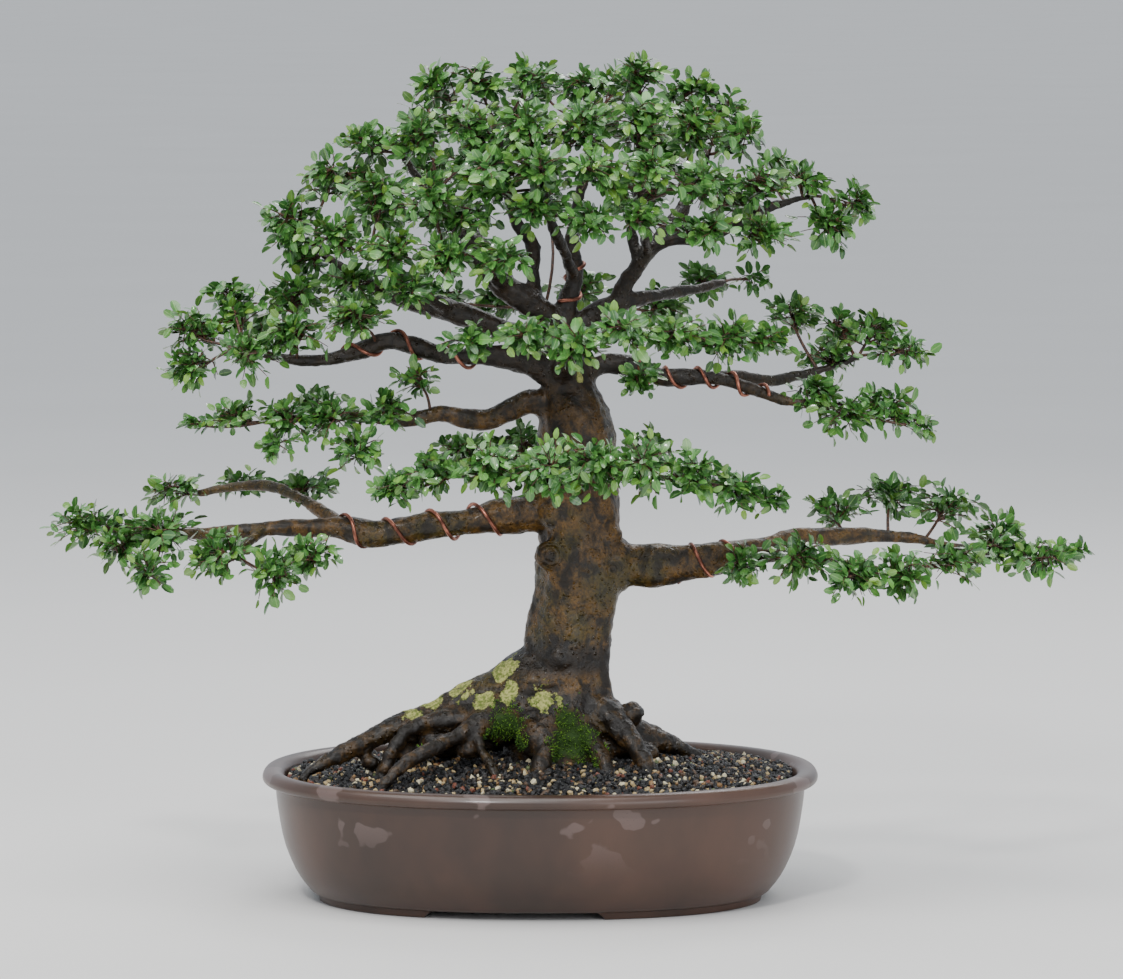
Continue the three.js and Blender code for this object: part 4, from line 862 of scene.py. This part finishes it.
def turned_vessel(name, profile, columns, lift):
    """A profile of (inset, height) carried round the oval, closed by a point at the middle of its first
    and last rings. lift gives the finished places their heights."""
    angle = np.arange(columns) / columns * 2 * np.pi
    inset = np.repeat(profile[:, :1], columns, 1)
    flat = oval(np.broadcast_to(angle, inset.shape), inset)
    height = np.repeat(profile[:, 1:], columns, 1)
    rings = np.dstack([flat, height]).reshape(-1, 3)
    middle = np.array([[0, 0, profile[0, 1]], [0, 0, profile[-1, 1]]])
    places = np.vstack([rings, middle])
    places[:, 2] = lift(places)
    return mesh_from(name, to_row(places), *ring_faces(len(profile), columns))


def foot_heights(places):
    """The foot ring's underside is lifted flush with the base between the four feet."""
    x, y, z = places.T
    between = (np.abs(x - FRONT_GAP_X) < FRONT_FOOT_GAP / 2) | (np.abs(y) < END_FOOT_GAP / 2)
    return np.where((z < FOOT_HEIGHT) & between, FOOT_HEIGHT, z)


def drain_cutter():
    """Two upright cylinders that cut the drain holes."""
    heights = np.linspace(-FLOOR_TOP, 2 * FLOOR_TOP, 3)
    paths = np.array([[(x, 0, height) for height in heights] for x in (-DRAIN_X, DRAIN_X)])
    vertices, quads, caps = tubes(paths, np.full(paths.shape[:2], float(DRAIN_RADIUS)), DRAIN_SIDES)
    return mesh_from("drain cutter", to_row(vertices), quads, caps)


def make_pot():
    """The pot: its profile carried round the oval, with the drain holes cut out."""
    pot = turned_vessel("oval_pot", rounded_profile(POT_PROFILE, CORNER_STEPS), POT_COLUMNS, foot_heights)
    cutter = drain_cutter()
    cut = ("BOOLEAN", {"object": cutter, "operation": "DIFFERENCE", "solver": "EXACT"})
    pot = shaped_mesh(pot, cut)
    bpy.data.objects.remove(cutter)
    pot.data.set_sharp_from_angle(angle=np.radians(50))
    finish_piece(pot, brown_glaze(), "glaze", "pot")


def make_screen(name, x, material, node):
    """A plastic drainage mesh: two layers of thin crossing bars inside the CAD screen's outline."""
    pitch = SCREEN_SIDE / SCREEN_BARS
    offsets = (np.arange(SCREEN_BARS + 1) / SCREEN_BARS - 0.5) * (SCREEN_SIDE - 0.3 * pitch)
    radius = 0.15 * pitch
    low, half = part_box(node)[0][2] / MM + radius, SCREEN_SIDE / 2
    run = np.linspace(-half + radius, half - radius, 3)
    rows = np.stack(np.broadcast_arrays(x + run, offsets[:, None], low), -1)
    columns = np.stack(np.broadcast_arrays(x + offsets[:, None], run, low + 1.2 * radius), -1)
    paths = np.concatenate([rows, columns])
    vertices, quads, caps = tubes(paths, np.full(paths.shape[:2], radius), SCREEN_BAR_SIDES)
    finish_piece(mesh_from(name, to_row(vertices), quads, caps), material, "screen_plastic", node)


# Soil
def soil_height(x, y):
    """A low mound round the trunk, 1 - r^2 of an ellipse, on the level of the pot's edge."""
    away = np.hypot((x - SOIL_MOUND_X) / SOIL_MOUND_LENGTH, y / SOIL_MOUND_DEPTH)
    return SOIL_EDGE_HEIGHT + SOIL_MOUND * np.maximum(0, 1 - away**2)


def make_soil_bed():
    """The bed: its side follows the pot's inner wall, and its top is the mound with a grainy ripple."""
    rings = np.linspace(SOIL_EDGE_INSET, POT_DEPTH / 2 - 2, SOIL_RINGS)
    side = [(INNER_INSET, FLOOR_TOP + 2.6), (47, FLOOR_TOP + 2.6), (24.6, 50), (SOIL_EDGE_INSET, 96)]
    top = np.stack([rings, np.full(len(rings), SOIL_EDGE_HEIGHT)], -1)

    def bed_heights(places):
        x, y, z = places.T
        grit = ripple(places * (1, 1, 0), 14, 5, 3)
        return np.where(z == SOIL_EDGE_HEIGHT, soil_height(x, y) - BED_DROP + BED_ROUGHNESS * grit, z)

    bed = turned_vessel("soil_bed", np.vstack([side, top]), SOIL_COLUMNS, bed_heights)
    finish_piece(bed, damp_bed(), "grit", "soil")


def stone_template():
    """An icosahedron: twelve points at the corners of three golden rectangles, and its twenty faces."""
    golden = (1 + 5**0.5) / 2
    flat = np.array([(0, a, b * golden) for a in (-1, 1) for b in (-1, 1)], float)
    points = unit(np.concatenate([np.roll(flat, turn, 1) for turn in range(3)]))
    reach = np.linalg.norm(points[:, None] - points[None], axis=-1)
    touching = (reach > 0.1) & (reach < 1.2)
    faces = np.array([
        (a, b, c)
        for a in range(12) for b in range(a + 1, 12) for c in range(b + 1, 12)
        if touching[a, b] and touching[b, c] and touching[a, c]
    ])
    normal = np.cross(points[faces[:, 1]] - points[faces[:, 0]], points[faces[:, 2]] - points[faces[:, 0]])
    inward = np.einsum("ij,ij->i", normal, points[faces].mean(1)) < 0
    faces[inward] = faces[inward][:, ::-1]
    return points, faces


def random_turns(random, count):
    """Evenly random rotation matrices, from random unit quaternions."""
    w, x, y, z = unit(random.normal(size=(count, 4))).T
    return np.stack([
        1 - 2 * (y * y + z * z), 2 * (x * y - w * z), 2 * (x * z + w * y),
        2 * (x * y + w * z), 1 - 2 * (x * x + z * z), 2 * (y * z - w * x),
        2 * (x * z - w * y), 2 * (y * z + w * x), 1 - 2 * (x * x + y * y),
    ], -1).reshape(count, 3, 3)


def make_grit():
    """Loose grains in a jittered grid over the soil inside the rim, with a second layer here and there.
    Each is an icosahedron whose points are pushed in or out at random, stretched, turned and laid on
    the bed."""
    random = np.random.default_rng(11)
    steps_x = np.arange(-POT_LENGTH / 2, POT_LENGTH / 2, GRAIN_SPACING)
    steps_y = np.arange(-POT_DEPTH / 2, POT_DEPTH / 2, GRAIN_SPACING)
    grid = np.stack(np.meshgrid(steps_x, steps_y), -1).reshape(-1, 2)
    extra = grid[random.random(len(grid)) < SECOND_LAYER_SHARE] + GRAIN_SPACING / 2
    lift = np.concatenate([np.zeros(len(grid)), np.full(len(extra), SECOND_LAYER_LIFT)])
    grid = np.concatenate([grid, extra])
    grid += random.uniform(-GRAIN_STRAY, GRAIN_STRAY, grid.shape) * GRAIN_SPACING
    inner = np.array([POT_LENGTH, POT_DEPTH]) / 2 - SOIL_EDGE_INSET - GRAIN_RADIUS[0]
    inside = ((np.abs(grid) / inner) ** POT_ROUNDNESS).sum(1) < 1
    trunk_x, trunk_length, trunk_depth = TRUNK_AT_SOIL
    clear_of_trunk = np.hypot((grid[:, 0] - trunk_x) / trunk_length, grid[:, 1] / trunk_depth) > 1
    keep = inside & clear_of_trunk
    grid, lift = grid[keep], lift[keep]
    count = len(grid)
    radius = random.uniform(*GRAIN_RADIUS, count)
    points, faces = stone_template()
    shape = points[None] * random.uniform(0.58, 1.16, (count, 12, 1))
    shape = shape * (radius[:, None, None] * random.uniform(0.7, 1.25, (count, 1, 3)))
    shape = np.einsum("nij,nkj->nki", random_turns(random, count), shape)
    height = soil_height(grid[:, 0], grid[:, 1]) - BED_DROP + lift + radius * GRAIN_SINK
    centre = np.stack([grid[:, 0], grid[:, 1], height], -1)
    vertices = (shape + centre[:, None]).reshape(-1, 3)
    triangles = faces[None] + np.arange(count)[:, None, None] * 12
    grit = mesh_from("loose_grit", to_row(vertices), None, triangles)
    grit.data.shade_flat()
    add_values(grit, "tone", np.repeat(random.random(count), 12))
    finish_piece(grit, lava_grit(), "grit")


# Wood
def limb_path(points, step):
    """A limb's curve and radii in millimetres about the pot's middle."""
    points = np.asarray(points, float)
    return smooth_path(place_seen(points[:, :3]), points[:, 3], step)


def limb_shell(points, seed, knotty):
    """A limb as a closed tube. Its section is drawn out into a few uneven ribs that wander along it,
    stronger where the limb is thick, and its radius swells and narrows a little like a pruned limb's.
    A knotty limb swells more and is a little thicker."""
    path, radius = limb_path(points, LIMB_STEP)
    radius = radius * (0.9 + 0.1 * knotty)
    sides = int(np.clip(round(radius.max() * 2.2), 12, 72))
    angle = np.arange(sides) / sides * 2 * np.pi
    along = np.append(0, np.cumsum(np.linalg.norm(np.diff(path, axis=0), axis=1)))
    random = np.random.default_rng(seed)
    strength = np.clip(radius / 40, 0.12, 1)[:, None]
    swell = 1 + 0.05 * knotty * np.sin(along / 23 + seed)[:, None]
    swell = swell + 0.03 * knotty * np.sin(along / 9 + 2 * seed)[:, None]
    for ribs, weight in LIMB_RIBS:
        drift = random.uniform(0, 6.28) + along * random.uniform(-0.012, 0.012)
        swell = swell + weight * strength * np.sin(ribs * angle + drift[:, None])
    return tubes(path[None], radius[None], sides, swell[None])


def sunk(points):
    """A root's points with one more that dives into the soil beyond its end."""
    points = np.asarray(points, float)
    beyond = points[-1] + (points[-1] - points[-2]) * (0.5, 0.5, 0.5, 0)
    return np.vstack([points, beyond - (0, ROOT_DIVE, 0, 0)])


def lump_shell(x, height, depth, radius, stretch):
    """An ellipsoid on the trunk: a tube whose radius follows a half circle."""
    centre = place_seen(np.array([[x, height, depth]]))[0]
    share = np.linspace(-0.96, 0.96, 11)
    path = centre + share[:, None] * np.array([0, 0, radius * stretch])
    return tubes(path[None], radius * np.sqrt(1 - share**2)[None], 18)


def joined_shells(shells):
    """Several (vertices, quads, triangles) as one."""
    starts = np.append(0, np.cumsum([len(shell[0]) for shell in shells]))[:-1]
    return (
        np.concatenate([shell[0] for shell in shells]),
        np.concatenate([shell[1] + start for shell, start in zip(shells, starts)]),
        np.concatenate([shell[2] + start for shell, start in zip(shells, starts)]),
    )


def make_wood():
    """Trunk, limbs and roots: overlapping tubes fused on a fine grid of cubes, smoothed, then roughened
    along their normals with ridges on the trunk and finer bumps everywhere, most of all low down.
    Returns the places, in millimetres about the pot's middle, and normals that moss can stand on."""
    shells = []
    for seed, (name, points) in enumerate(LIMBS.items()):
        shells.append(limb_shell(points, seed, 1 if name == "trunk" else LIMB_KNOTTINESS))
    for seed, (name, points) in enumerate(ROOTS.items()):
        reached = points if name == "root_stub" else sunk(points)
        shells.append(limb_shell(reached, FIRST_ROOT_SEED + seed, ROOT_KNOTTINESS))
    shells += [lump_shell(*lump) for lump in TRUNK_LUMPS]
    vertices, quads, caps = joined_shells(shells)
    wood = mesh_from("elm_wood", to_row(vertices), quads, caps)
    wood = shaped_mesh(
        wood,
        ("REMESH", {"mode": "VOXEL", "voxel_size": WOOD_VOXEL * MM}),
        ("SMOOTH", {"factor": 0.5, "iterations": 3}),
    )
    places, normals = vertices_of(wood)
    spot = (places - POT_CENTRE) / MM
    thick = np.clip(1 - np.hypot((spot[:, 0] - 22) / 60, spot[:, 1] / 60), 0, 1) ** 0.5
    thick = np.where(spot[:, 2] < TRUNK_TOP, thick, 0) + 0.25
    ridges = np.abs(ripple(spot * (1, 1, 0.7), 26, 3, 3))
    bumps = ripple(spot, 11, 4, 3)
    low = np.clip((FLARE_TOP - spot[:, 2]) / 30, 0, 1)
    push = (0.4 - ridges) * BARK_RIDGE * thick + bumps * (BARK_BUMP + ROOT_BUMP * low)
    places += normals * push[:, None] * MM
    wood.data.vertices.foreach_set("co", places.astype(np.float32).ravel())
    wood.data.update()
    upper_faces = np.clip(normals[:, 2] + 0.7, 0, 1)
    add_values(wood, "lichen", closeness(spot, LICHEN_PATCHES) * upper_faces)
    add_values(wood, "moss", closeness(spot, MOSS_PATCHES))
    add_values(wood, "knot", closeness(spot, KNOTS))
    finish_piece(wood, wet_bark(), "bark", "tree_wood")
    return spot, normals


def closeness(spot, patches):
    """1 in the middle of any of the patches, falling evenly to 0 at that patch's radius."""
    patches = np.asarray(patches, float)
    away = np.linalg.norm(spot[:, None] - place_seen(patches[:, :3])[None], axis=-1) / patches[:, 3]
    return np.clip(1 - away, 0, 1).max(1)


def make_moss(spot, normals):
    """Moss: short three-sided spikes that stand on the bark where the moss is thick."""
    random = np.random.default_rng(21)
    chance = closeness(spot, MOSS_PATCHES) + 0.25 * ripple(spot, 16, 8, 2)
    rooted = random.choice(np.flatnonzero(chance > 0.32), MOSS_SPIKES)
    base = spot[rooted] + random.normal(size=(len(rooted), 3)) * 0.6
    up = unit(normals[rooted] + random.normal(size=(len(rooted), 3)) * 0.45 + (0, 0, 0.3))
    side = unit(np.cross(up, random.normal(size=(len(rooted), 3))))
    other = np.cross(up, side)
    width = random.uniform(*MOSS_WIDTH, (len(rooted), 1))
    length = random.uniform(*MOSS_LENGTH, (len(rooted), 1))
    turns = np.arange(3) * 2 * np.pi / 3
    feet = base[:, None] + width[..., None] * (
        np.cos(turns)[:, None] * side[:, None] + np.sin(turns)[:, None] * other[:, None]
    )
    vertices = np.concatenate([feet, (base + up * length)[:, None]], 1).reshape(-1, 3)
    faces = np.array([(0, 2, 1), (0, 1, 3), (1, 2, 3), (2, 0, 3)])
    triangles = faces[None] + np.arange(len(rooted))[:, None, None] * 4
    moss = mesh_from("moss_tufts", to_row(vertices), None, triangles)
    add_values(moss, "tone", np.repeat(random.random(len(rooted)), 4))
    finish_piece(moss, living_moss(), "leaf")


def make_wire(name, limb, start, end, turns, first_angle, material):
    """A wire wound round a limb: its centre is the limb's curve plus (limb radius + wire radius) times
    (cos a * first axis + sin a * second axis), with a rising by the turns."""
    path, radius = limb_path(LIMBS[limb], 1.0)
    _, first, second = section_axes(path)
    count = int(turns * WIRE_STEPS_PER_TURN)
    share = np.linspace(start, end, count)
    angle = first_angle + np.linspace(0, turns, count) * 2 * np.pi
    places = np.arange(len(path)) / (len(path) - 1)

    def along(values):
        return np.stack([np.interp(share, places, column) for column in values.T], -1)

    reach = np.interp(share, places, radius) * 1.04 + WIRE_RADIUS + WIRE_CLEARANCE
    helix = along(path) + reach[:, None] * (
        np.cos(angle)[:, None] * along(first) + np.sin(angle)[:, None] * along(second)
    )
    vertices, quads, caps = turned_along(helix, WIRE_RADIUS, WIRE_SIDES)
    finish_piece(mesh_from(name + "_coil", to_row(vertices), quads, caps), material, "copper", name)


def turned_along(path, radius, sides):
    """A closed tube along a path that turns freely: the first axis of each ring is the one before it,
    made square to the new tangent again."""
    tangents = unit(np.gradient(path, axis=0))
    first = np.empty_like(path)
    first[0] = unit(np.cross(tangents[0], (0.3, 0.2, 0.9)))
    for ring in range(1, len(path)):
        carried = first[ring - 1] - tangents[ring] * (first[ring - 1] @ tangents[ring])
        first[ring] = unit(carried)
    second = np.cross(tangents, first)
    angles = np.arange(sides) / sides * 2 * np.pi
    rings = path[:, None] + radius * (
        np.cos(angles)[:, None] * first[:, None] + np.sin(angles)[:, None] * second[:, None]
    )
    ends = np.stack([path[0] - tangents[0] * radius * 0.3, path[-1] + tangents[-1] * radius * 0.3])
    return np.concatenate([rings.reshape(-1, 3), ends]), *ring_faces(len(path), sides)


# Leaves and twigs
def leaf_template():
    """One leaf, 1 long and 1 wide, closed: an oval outline shared by an upper and a lower face, with
    the midrib between them. Columns: across -0.5 to 0.5, along 0 to 1, side (1 upper, -1 lower, 0 edge)."""
    along = np.array([0.16, 0.50, 0.85])
    width = np.array([0.37, 0.50, 0.32])
    count = len(along)
    edge = np.stack([width, along, 0 * along], -1)
    rib = np.stack([0 * along, along, 0 * along + 1], -1)
    points = np.vstack([[(0, 0, 0), (0, 1, 0)], edge, edge * (-1, 1, 1), rib, rib * (1, 1, -1)])
    right, left, top, bottom = (2 + count * part + np.arange(count) for part in range(4))
    faces = []
    for rail, mirrored in ((right, False), (left, True)):
        for middle, upper in ((top, True), (bottom, False)):
            strip = [(0, rail[0], middle[0]), (rail[-1], 1, middle[-1])]
            strip += [(rail[i], rail[i + 1], middle[i + 1]) for i in range(count - 1)]
            strip += [(rail[i], middle[i + 1], middle[i]) for i in range(count - 1)]
            faces += strip if mirrored != upper else [face[::-1] for face in strip]
    return points, np.array(faces)


def leaf_meshes(name, base, way, normal, length, tone, age, random, material, node):
    """Many leaves as one mesh. Each has its own width, fold along the midrib, droop towards the tip,
    twist and waved edge. A point's rise from the flat blade is fold * |across| - droop * length *
    along^2 + twist * across * along + a sine wave along the edge, plus half the thickness."""
    points, faces = leaf_template()
    count = len(base)
    across, along, side = points.T
    width = length * LEAF_WIDTH_SHARE * random.uniform(*LEAF_WIDTH_SPREAD, count)
    ranges = (LEAF_FOLD, LEAF_DROOP, LEAF_TWIST, LEAF_WAVE)
    fold, droop, twist, wave = (random.uniform(*limits, count)[:, None] for limits in ranges)
    across_mm = width[:, None] * across
    rise = fold * np.abs(across_mm) - droop * length[:, None] * along**2 + twist * across_mm * along
    rise = rise + wave * length[:, None] * np.sin(9 * along + across * 4) * np.abs(across) * 2
    rise = rise + side * LEAF_THICKNESS / 2
    second = np.cross(way, normal)
    vertices = (
        base[:, None]
        + (length[:, None] * along)[..., None] * way[:, None]
        + across_mm[..., None] * second[:, None]
        + rise[..., None] * normal[:, None]
    )
    triangles = faces[None] + np.arange(count)[:, None, None] * len(points)
    piece = mesh_from(name, to_row(vertices.reshape(-1, 3)), None, triangles)
    piece.data.set_sharp_from_angle(angle=np.radians(80))
    add_values(piece, "tone", np.repeat(tone, len(points)))
    add_values(piece, "age", np.repeat(age, len(points)))
    layer = piece.data.uv_layers.new(name="blade")
    corners = np.empty(len(piece.data.loops), np.int32)
    piece.data.loops.foreach_get("vertex_index", corners)
    flat = np.stack([across + 0.5, along], -1)[corners % len(points)]
    layer.data.foreach_set("uv", flat.astype(np.float32).ravel())
    finish_piece(piece, material, "leaf", node)


def thin_wood():
    """All places on limbs that can carry twigs: each limb's curve past the bare share of its length."""
    curves = [limb_path(points, 3.0)[0] for name, points in LIMBS.items() if name != "trunk"]
    return np.concatenate([curve[np.linspace(0, 1, len(curve)) > BARE_SHARE] for curve in curves])


def pad_twig(centre, radius, wood, random):
    """A twig from the nearest thin wood to a pad's inner side: a quadratic curve that sets out flat and
    rises into the pad."""
    away = np.linalg.norm(wood - centre, axis=1) + 0.6 * np.maximum(0, wood[:, 2] - centre[2])
    start = wood[np.argmin(away)]
    back = unit(start - centre)
    hub = centre + back * radius * (0.35, 0.35, 0.45) - (0, 0, 0.25 * radius[2])
    bend = (start + hub) / 2 + random.normal(size=3) * 0.08 * np.linalg.norm(hub - start)
    bend[2] += 0.06 * np.linalg.norm(hub - start)
    far = centre - back * radius * 0.55
    t = np.linspace(0, 1, TWIG_POINTS)[:, None]
    inner = (1 - t) ** 2 * start + 2 * t * (1 - t) * bend + t**2 * hub
    outer = hub + (far - hub) * t
    outer[:, 2] += 0.12 * radius[2] * np.sin(np.pi * t[:, 0])
    return np.vstack([inner, outer[1:]])


def pad_shoots(twig, centre, radius, outward, count, random):
    """Shoots of one pad: quadratic curves from places along the outer part of the pad's twig to places
    spread through an ellipsoid that stands between that place and the pad's middle, arched upwards,
    most of them to its upper and outer side."""
    from_share = random.uniform(0.36, 1.0, count) * (len(twig) - 1)
    start = np.stack([np.interp(from_share, np.arange(len(twig)), twig[:, axis]) for axis in range(3)], -1)
    way = unit(random.normal(size=(count, 3)) + outward * 0.35 + (0, 0, 0.15))
    reach = random.uniform(0.5, 1.14, (count, 1))
    end = centre + (start - centre) * random.uniform(0, 0.5, (count, 1)) + way * radius * reach
    span = np.linalg.norm(end - start, axis=1, keepdims=True)
    end[:, 2] -= 0.04 * span[:, 0]
    bend = (start + end) / 2 + random.normal(size=(count, 3)) * 0.07 * span
    bend[:, 2] += 0.16 * span[:, 0]
    t = np.linspace(0, 1, SHOOT_POINTS)[None, :, None]
    return (1 - t) ** 2 * start[:, None] + 2 * t * (1 - t) * bend[:, None] + t**2 * end[:, None]


def leaves_on(shoots, outward, random):
    """Leaves in two ranks along each shoot, one at its tip. Returns base, way, normal and age arrays."""
    count = len(shoots)
    share = np.linspace(0.3, 1.0, LEAVES_PER_SHOOT) + random.uniform(-0.03, 0.03, (count, LEAVES_PER_SHOOT))
    place = np.clip(share, 0, 1) * (shoots.shape[1] - 1)
    low = np.minimum(place.astype(int), shoots.shape[1] - 2)
    part = (place - low)[..., None]
    row = np.arange(count)[:, None]
    base = shoots[row, low] * (1 - part) + shoots[row, low + 1] * part
    tangent = unit(shoots[row, low + 1] - shoots[row, low])
    face = unit(outward * 0.62 + np.array([0, 0, 0.72]) + random.normal(size=(count, 1, 3)) * 0.35)
    side = unit(np.cross(face, tangent))
    turn = np.where(np.arange(LEAVES_PER_SHOOT) % 2 == 0, 1.0, -1.0)[None, :, None]
    turn = turn * np.where(random.random((count, 1, 1)) < 0.5, 1.0, -1.0)
    spread = np.where(np.arange(LEAVES_PER_SHOOT) == LEAVES_PER_SHOOT - 1, 0.12, 1.0)[None, :, None]
    stray = random.normal(size=base.shape)
    way = unit(tangent * 0.62 + side * turn * 0.8 * spread + stray * 0.3 + (0, 0, 0.02))
    normal = face + random.normal(size=base.shape) * 0.42
    normal = unit(normal - way * np.sum(normal * way, -1, keepdims=True))
    age = np.clip(share - 0.72, 0, 1) * 2.4 * random.random((count, 1)) ** 2
    base = base + way * 0.6
    return base.reshape(-1, 3), way.reshape(-1, 3), normal.reshape(-1, 3), age.ravel()


def make_foliage():
    """The leaves of every spray as one piece each, and all the twigs that carry them as one more."""
    wood = thin_wood()
    leaf = elm_leaf()
    twig_paths, shoot_paths = [], []
    for index, (node, pads) in enumerate(LEAF_PADS.items()):
        random = np.random.default_rng(1000 + index)
        parts = []
        for x, height, depth, half_width, half_height in pads:
            centre = place_seen(np.array([x, height, depth], float))
            radius = np.array([half_width, half_width * 0.85, half_height], float)
            outward = unit((centre - CROWN_CENTRE) * (1, 1, 0.35))
            twig = pad_twig(centre, radius, wood, random)
            count = int(round(half_width * half_height * LEAVES_PER_AREA / LEAVES_PER_SHOOT)) + 1
            shoots = pad_shoots(twig, centre, radius, outward, count, random)
            twig_paths.append(twig)
            shoot_paths.append(shoots)
            parts.append(leaves_on(shoots, outward, random))
        base, way, normal, age = (np.concatenate(values) for values in zip(*parts))
        kept = random.random(len(base)) < LEAVES_KEPT
        base, way, normal, age = base[kept], way[kept], normal[kept], age[kept]
        length = random.triangular(*LEAF_LENGTH, len(base)) * (1 - 0.2 * age)
        tone = np.clip(random.normal(0.45, 0.25, len(base)), 0, 1)
        leaf_meshes(node + "_leaves", base, way, normal, length, tone, age, random, leaf, node)
    twigs = np.stack(twig_paths)
    shoots = np.concatenate(shoot_paths)
    thick = np.broadcast_to(np.linspace(*TWIG_RADIUS, twigs.shape[1]), twigs.shape[:2])
    thin = np.broadcast_to(np.linspace(*SHOOT_RADIUS, shoots.shape[1]), shoots.shape[:2])
    shells = [tubes(twigs, thick, TWIG_SIDES), tubes(shoots, thin, SHOOT_SIDES)]
    vertices, quads, caps = joined_shells(shells)
    finish_piece(mesh_from("fine_twigs", to_row(vertices), quads, caps), twig_bark(), "bark")


# Studio
def look_along(place, target):
    """The rotation matrix of something at place that looks at target along its own -Z, with Y up."""
    back = unit(np.asarray(place, float) - np.asarray(target, float))
    right = unit(np.cross((0, 0, 1), back))
    matrix = np.eye(4)
    matrix[:3, 0], matrix[:3, 1], matrix[:3, 2] = right, np.cross(back, right), back
    matrix[:3, 3] = place
    return matrix


def add_light(name, place, target, size, power, colour=(1, 1, 1)):
    """A rectangular lamp at a place in metres that shines towards the target."""
    light = bpy.data.lights.new(name, "AREA")
    light.shape = "RECTANGLE"
    light.size, light.size_y = size
    light.energy = power
    light.color = colour
    lamp = bpy.data.objects.new(name, light)
    lamp.matrix_world = look_along(place, target).T
    bpy.context.scene.collection.objects.link(lamp)


def make_stage():
    """A wide flat floor just under the feet that runs on past the picture's edges, soft daylight from
    all sides and four lamps."""
    corners = np.array([(-1, -1, 0), (1, -1, 0), (1, 1, 0), (-1, 1, 0)]) * FLOOR_REACH - (0, 0, FLOOR_DROP)
    floor = mesh_from("studio floor", corners, np.array([[0, 1, 2, 3]]))
    floor.data.materials.append(pale_floor())
    world = bpy.data.worlds.new("soft daylight")
    world.use_nodes = True
    daylight = world.node_tree.nodes["Background"]
    daylight.inputs["Color"].default_value = (0.86, 0.92, 1.0, 1)
    daylight.inputs["Strength"].default_value = 0.95
    bpy.context.scene.world = world
    add_light("soft sky", (-0.6, -0.8, 2.9), (0, 0, 0.35), (2.6, 2.2), 80, (1.0, 0.98, 0.95))
    add_light("front fill", (1.6, -3.2, 1.2), (0, 0, 0.35), (1.8, 1.8), 34, (0.95, 0.98, 1.0))
    add_light("bright cloud", (-0.7, -2.6, 2.4), (0, 0, 0.35), (0.34, 0.28), 42)
    add_light("back rim", (0.8, 2.0, 2.2), (0, 0, 0.4), (1.6, 1.0), 26)


def make_camera():
    """The camera, at the place and angle from which the photo shows the tree."""
    camera = bpy.data.cameras.new("camera")
    camera.lens = CAMERA_LENS
    camera.sensor_width = CAMERA_SENSOR
    camera.clip_end = 100
    eye = bpy.data.objects.new("camera", camera)
    eye.matrix_world = look_along(to_row(CAMERA_PLACE), to_row(CAMERA_TARGET)).T
    bpy.context.scene.collection.objects.link(eye)
    bpy.context.scene.camera = eye


make_pot()
make_soil_bed()
make_grit()
plastic = screen_plastic()
make_screen("drain_mesh_left", -DRAIN_X, plastic, "drain_screen_left")
make_screen("drain_mesh_right", DRAIN_X, plastic, "drain_screen_right")
make_moss(*make_wood())
copper = annealed_copper()
for wire_name, (limb, start, end, turns, first_angle) in WIRES.items():
    make_wire(wire_name, limb, start, end, turns, first_angle, copper)
make_foliage()
make_stage()
make_camera()

bpy.context.view_layer.update()
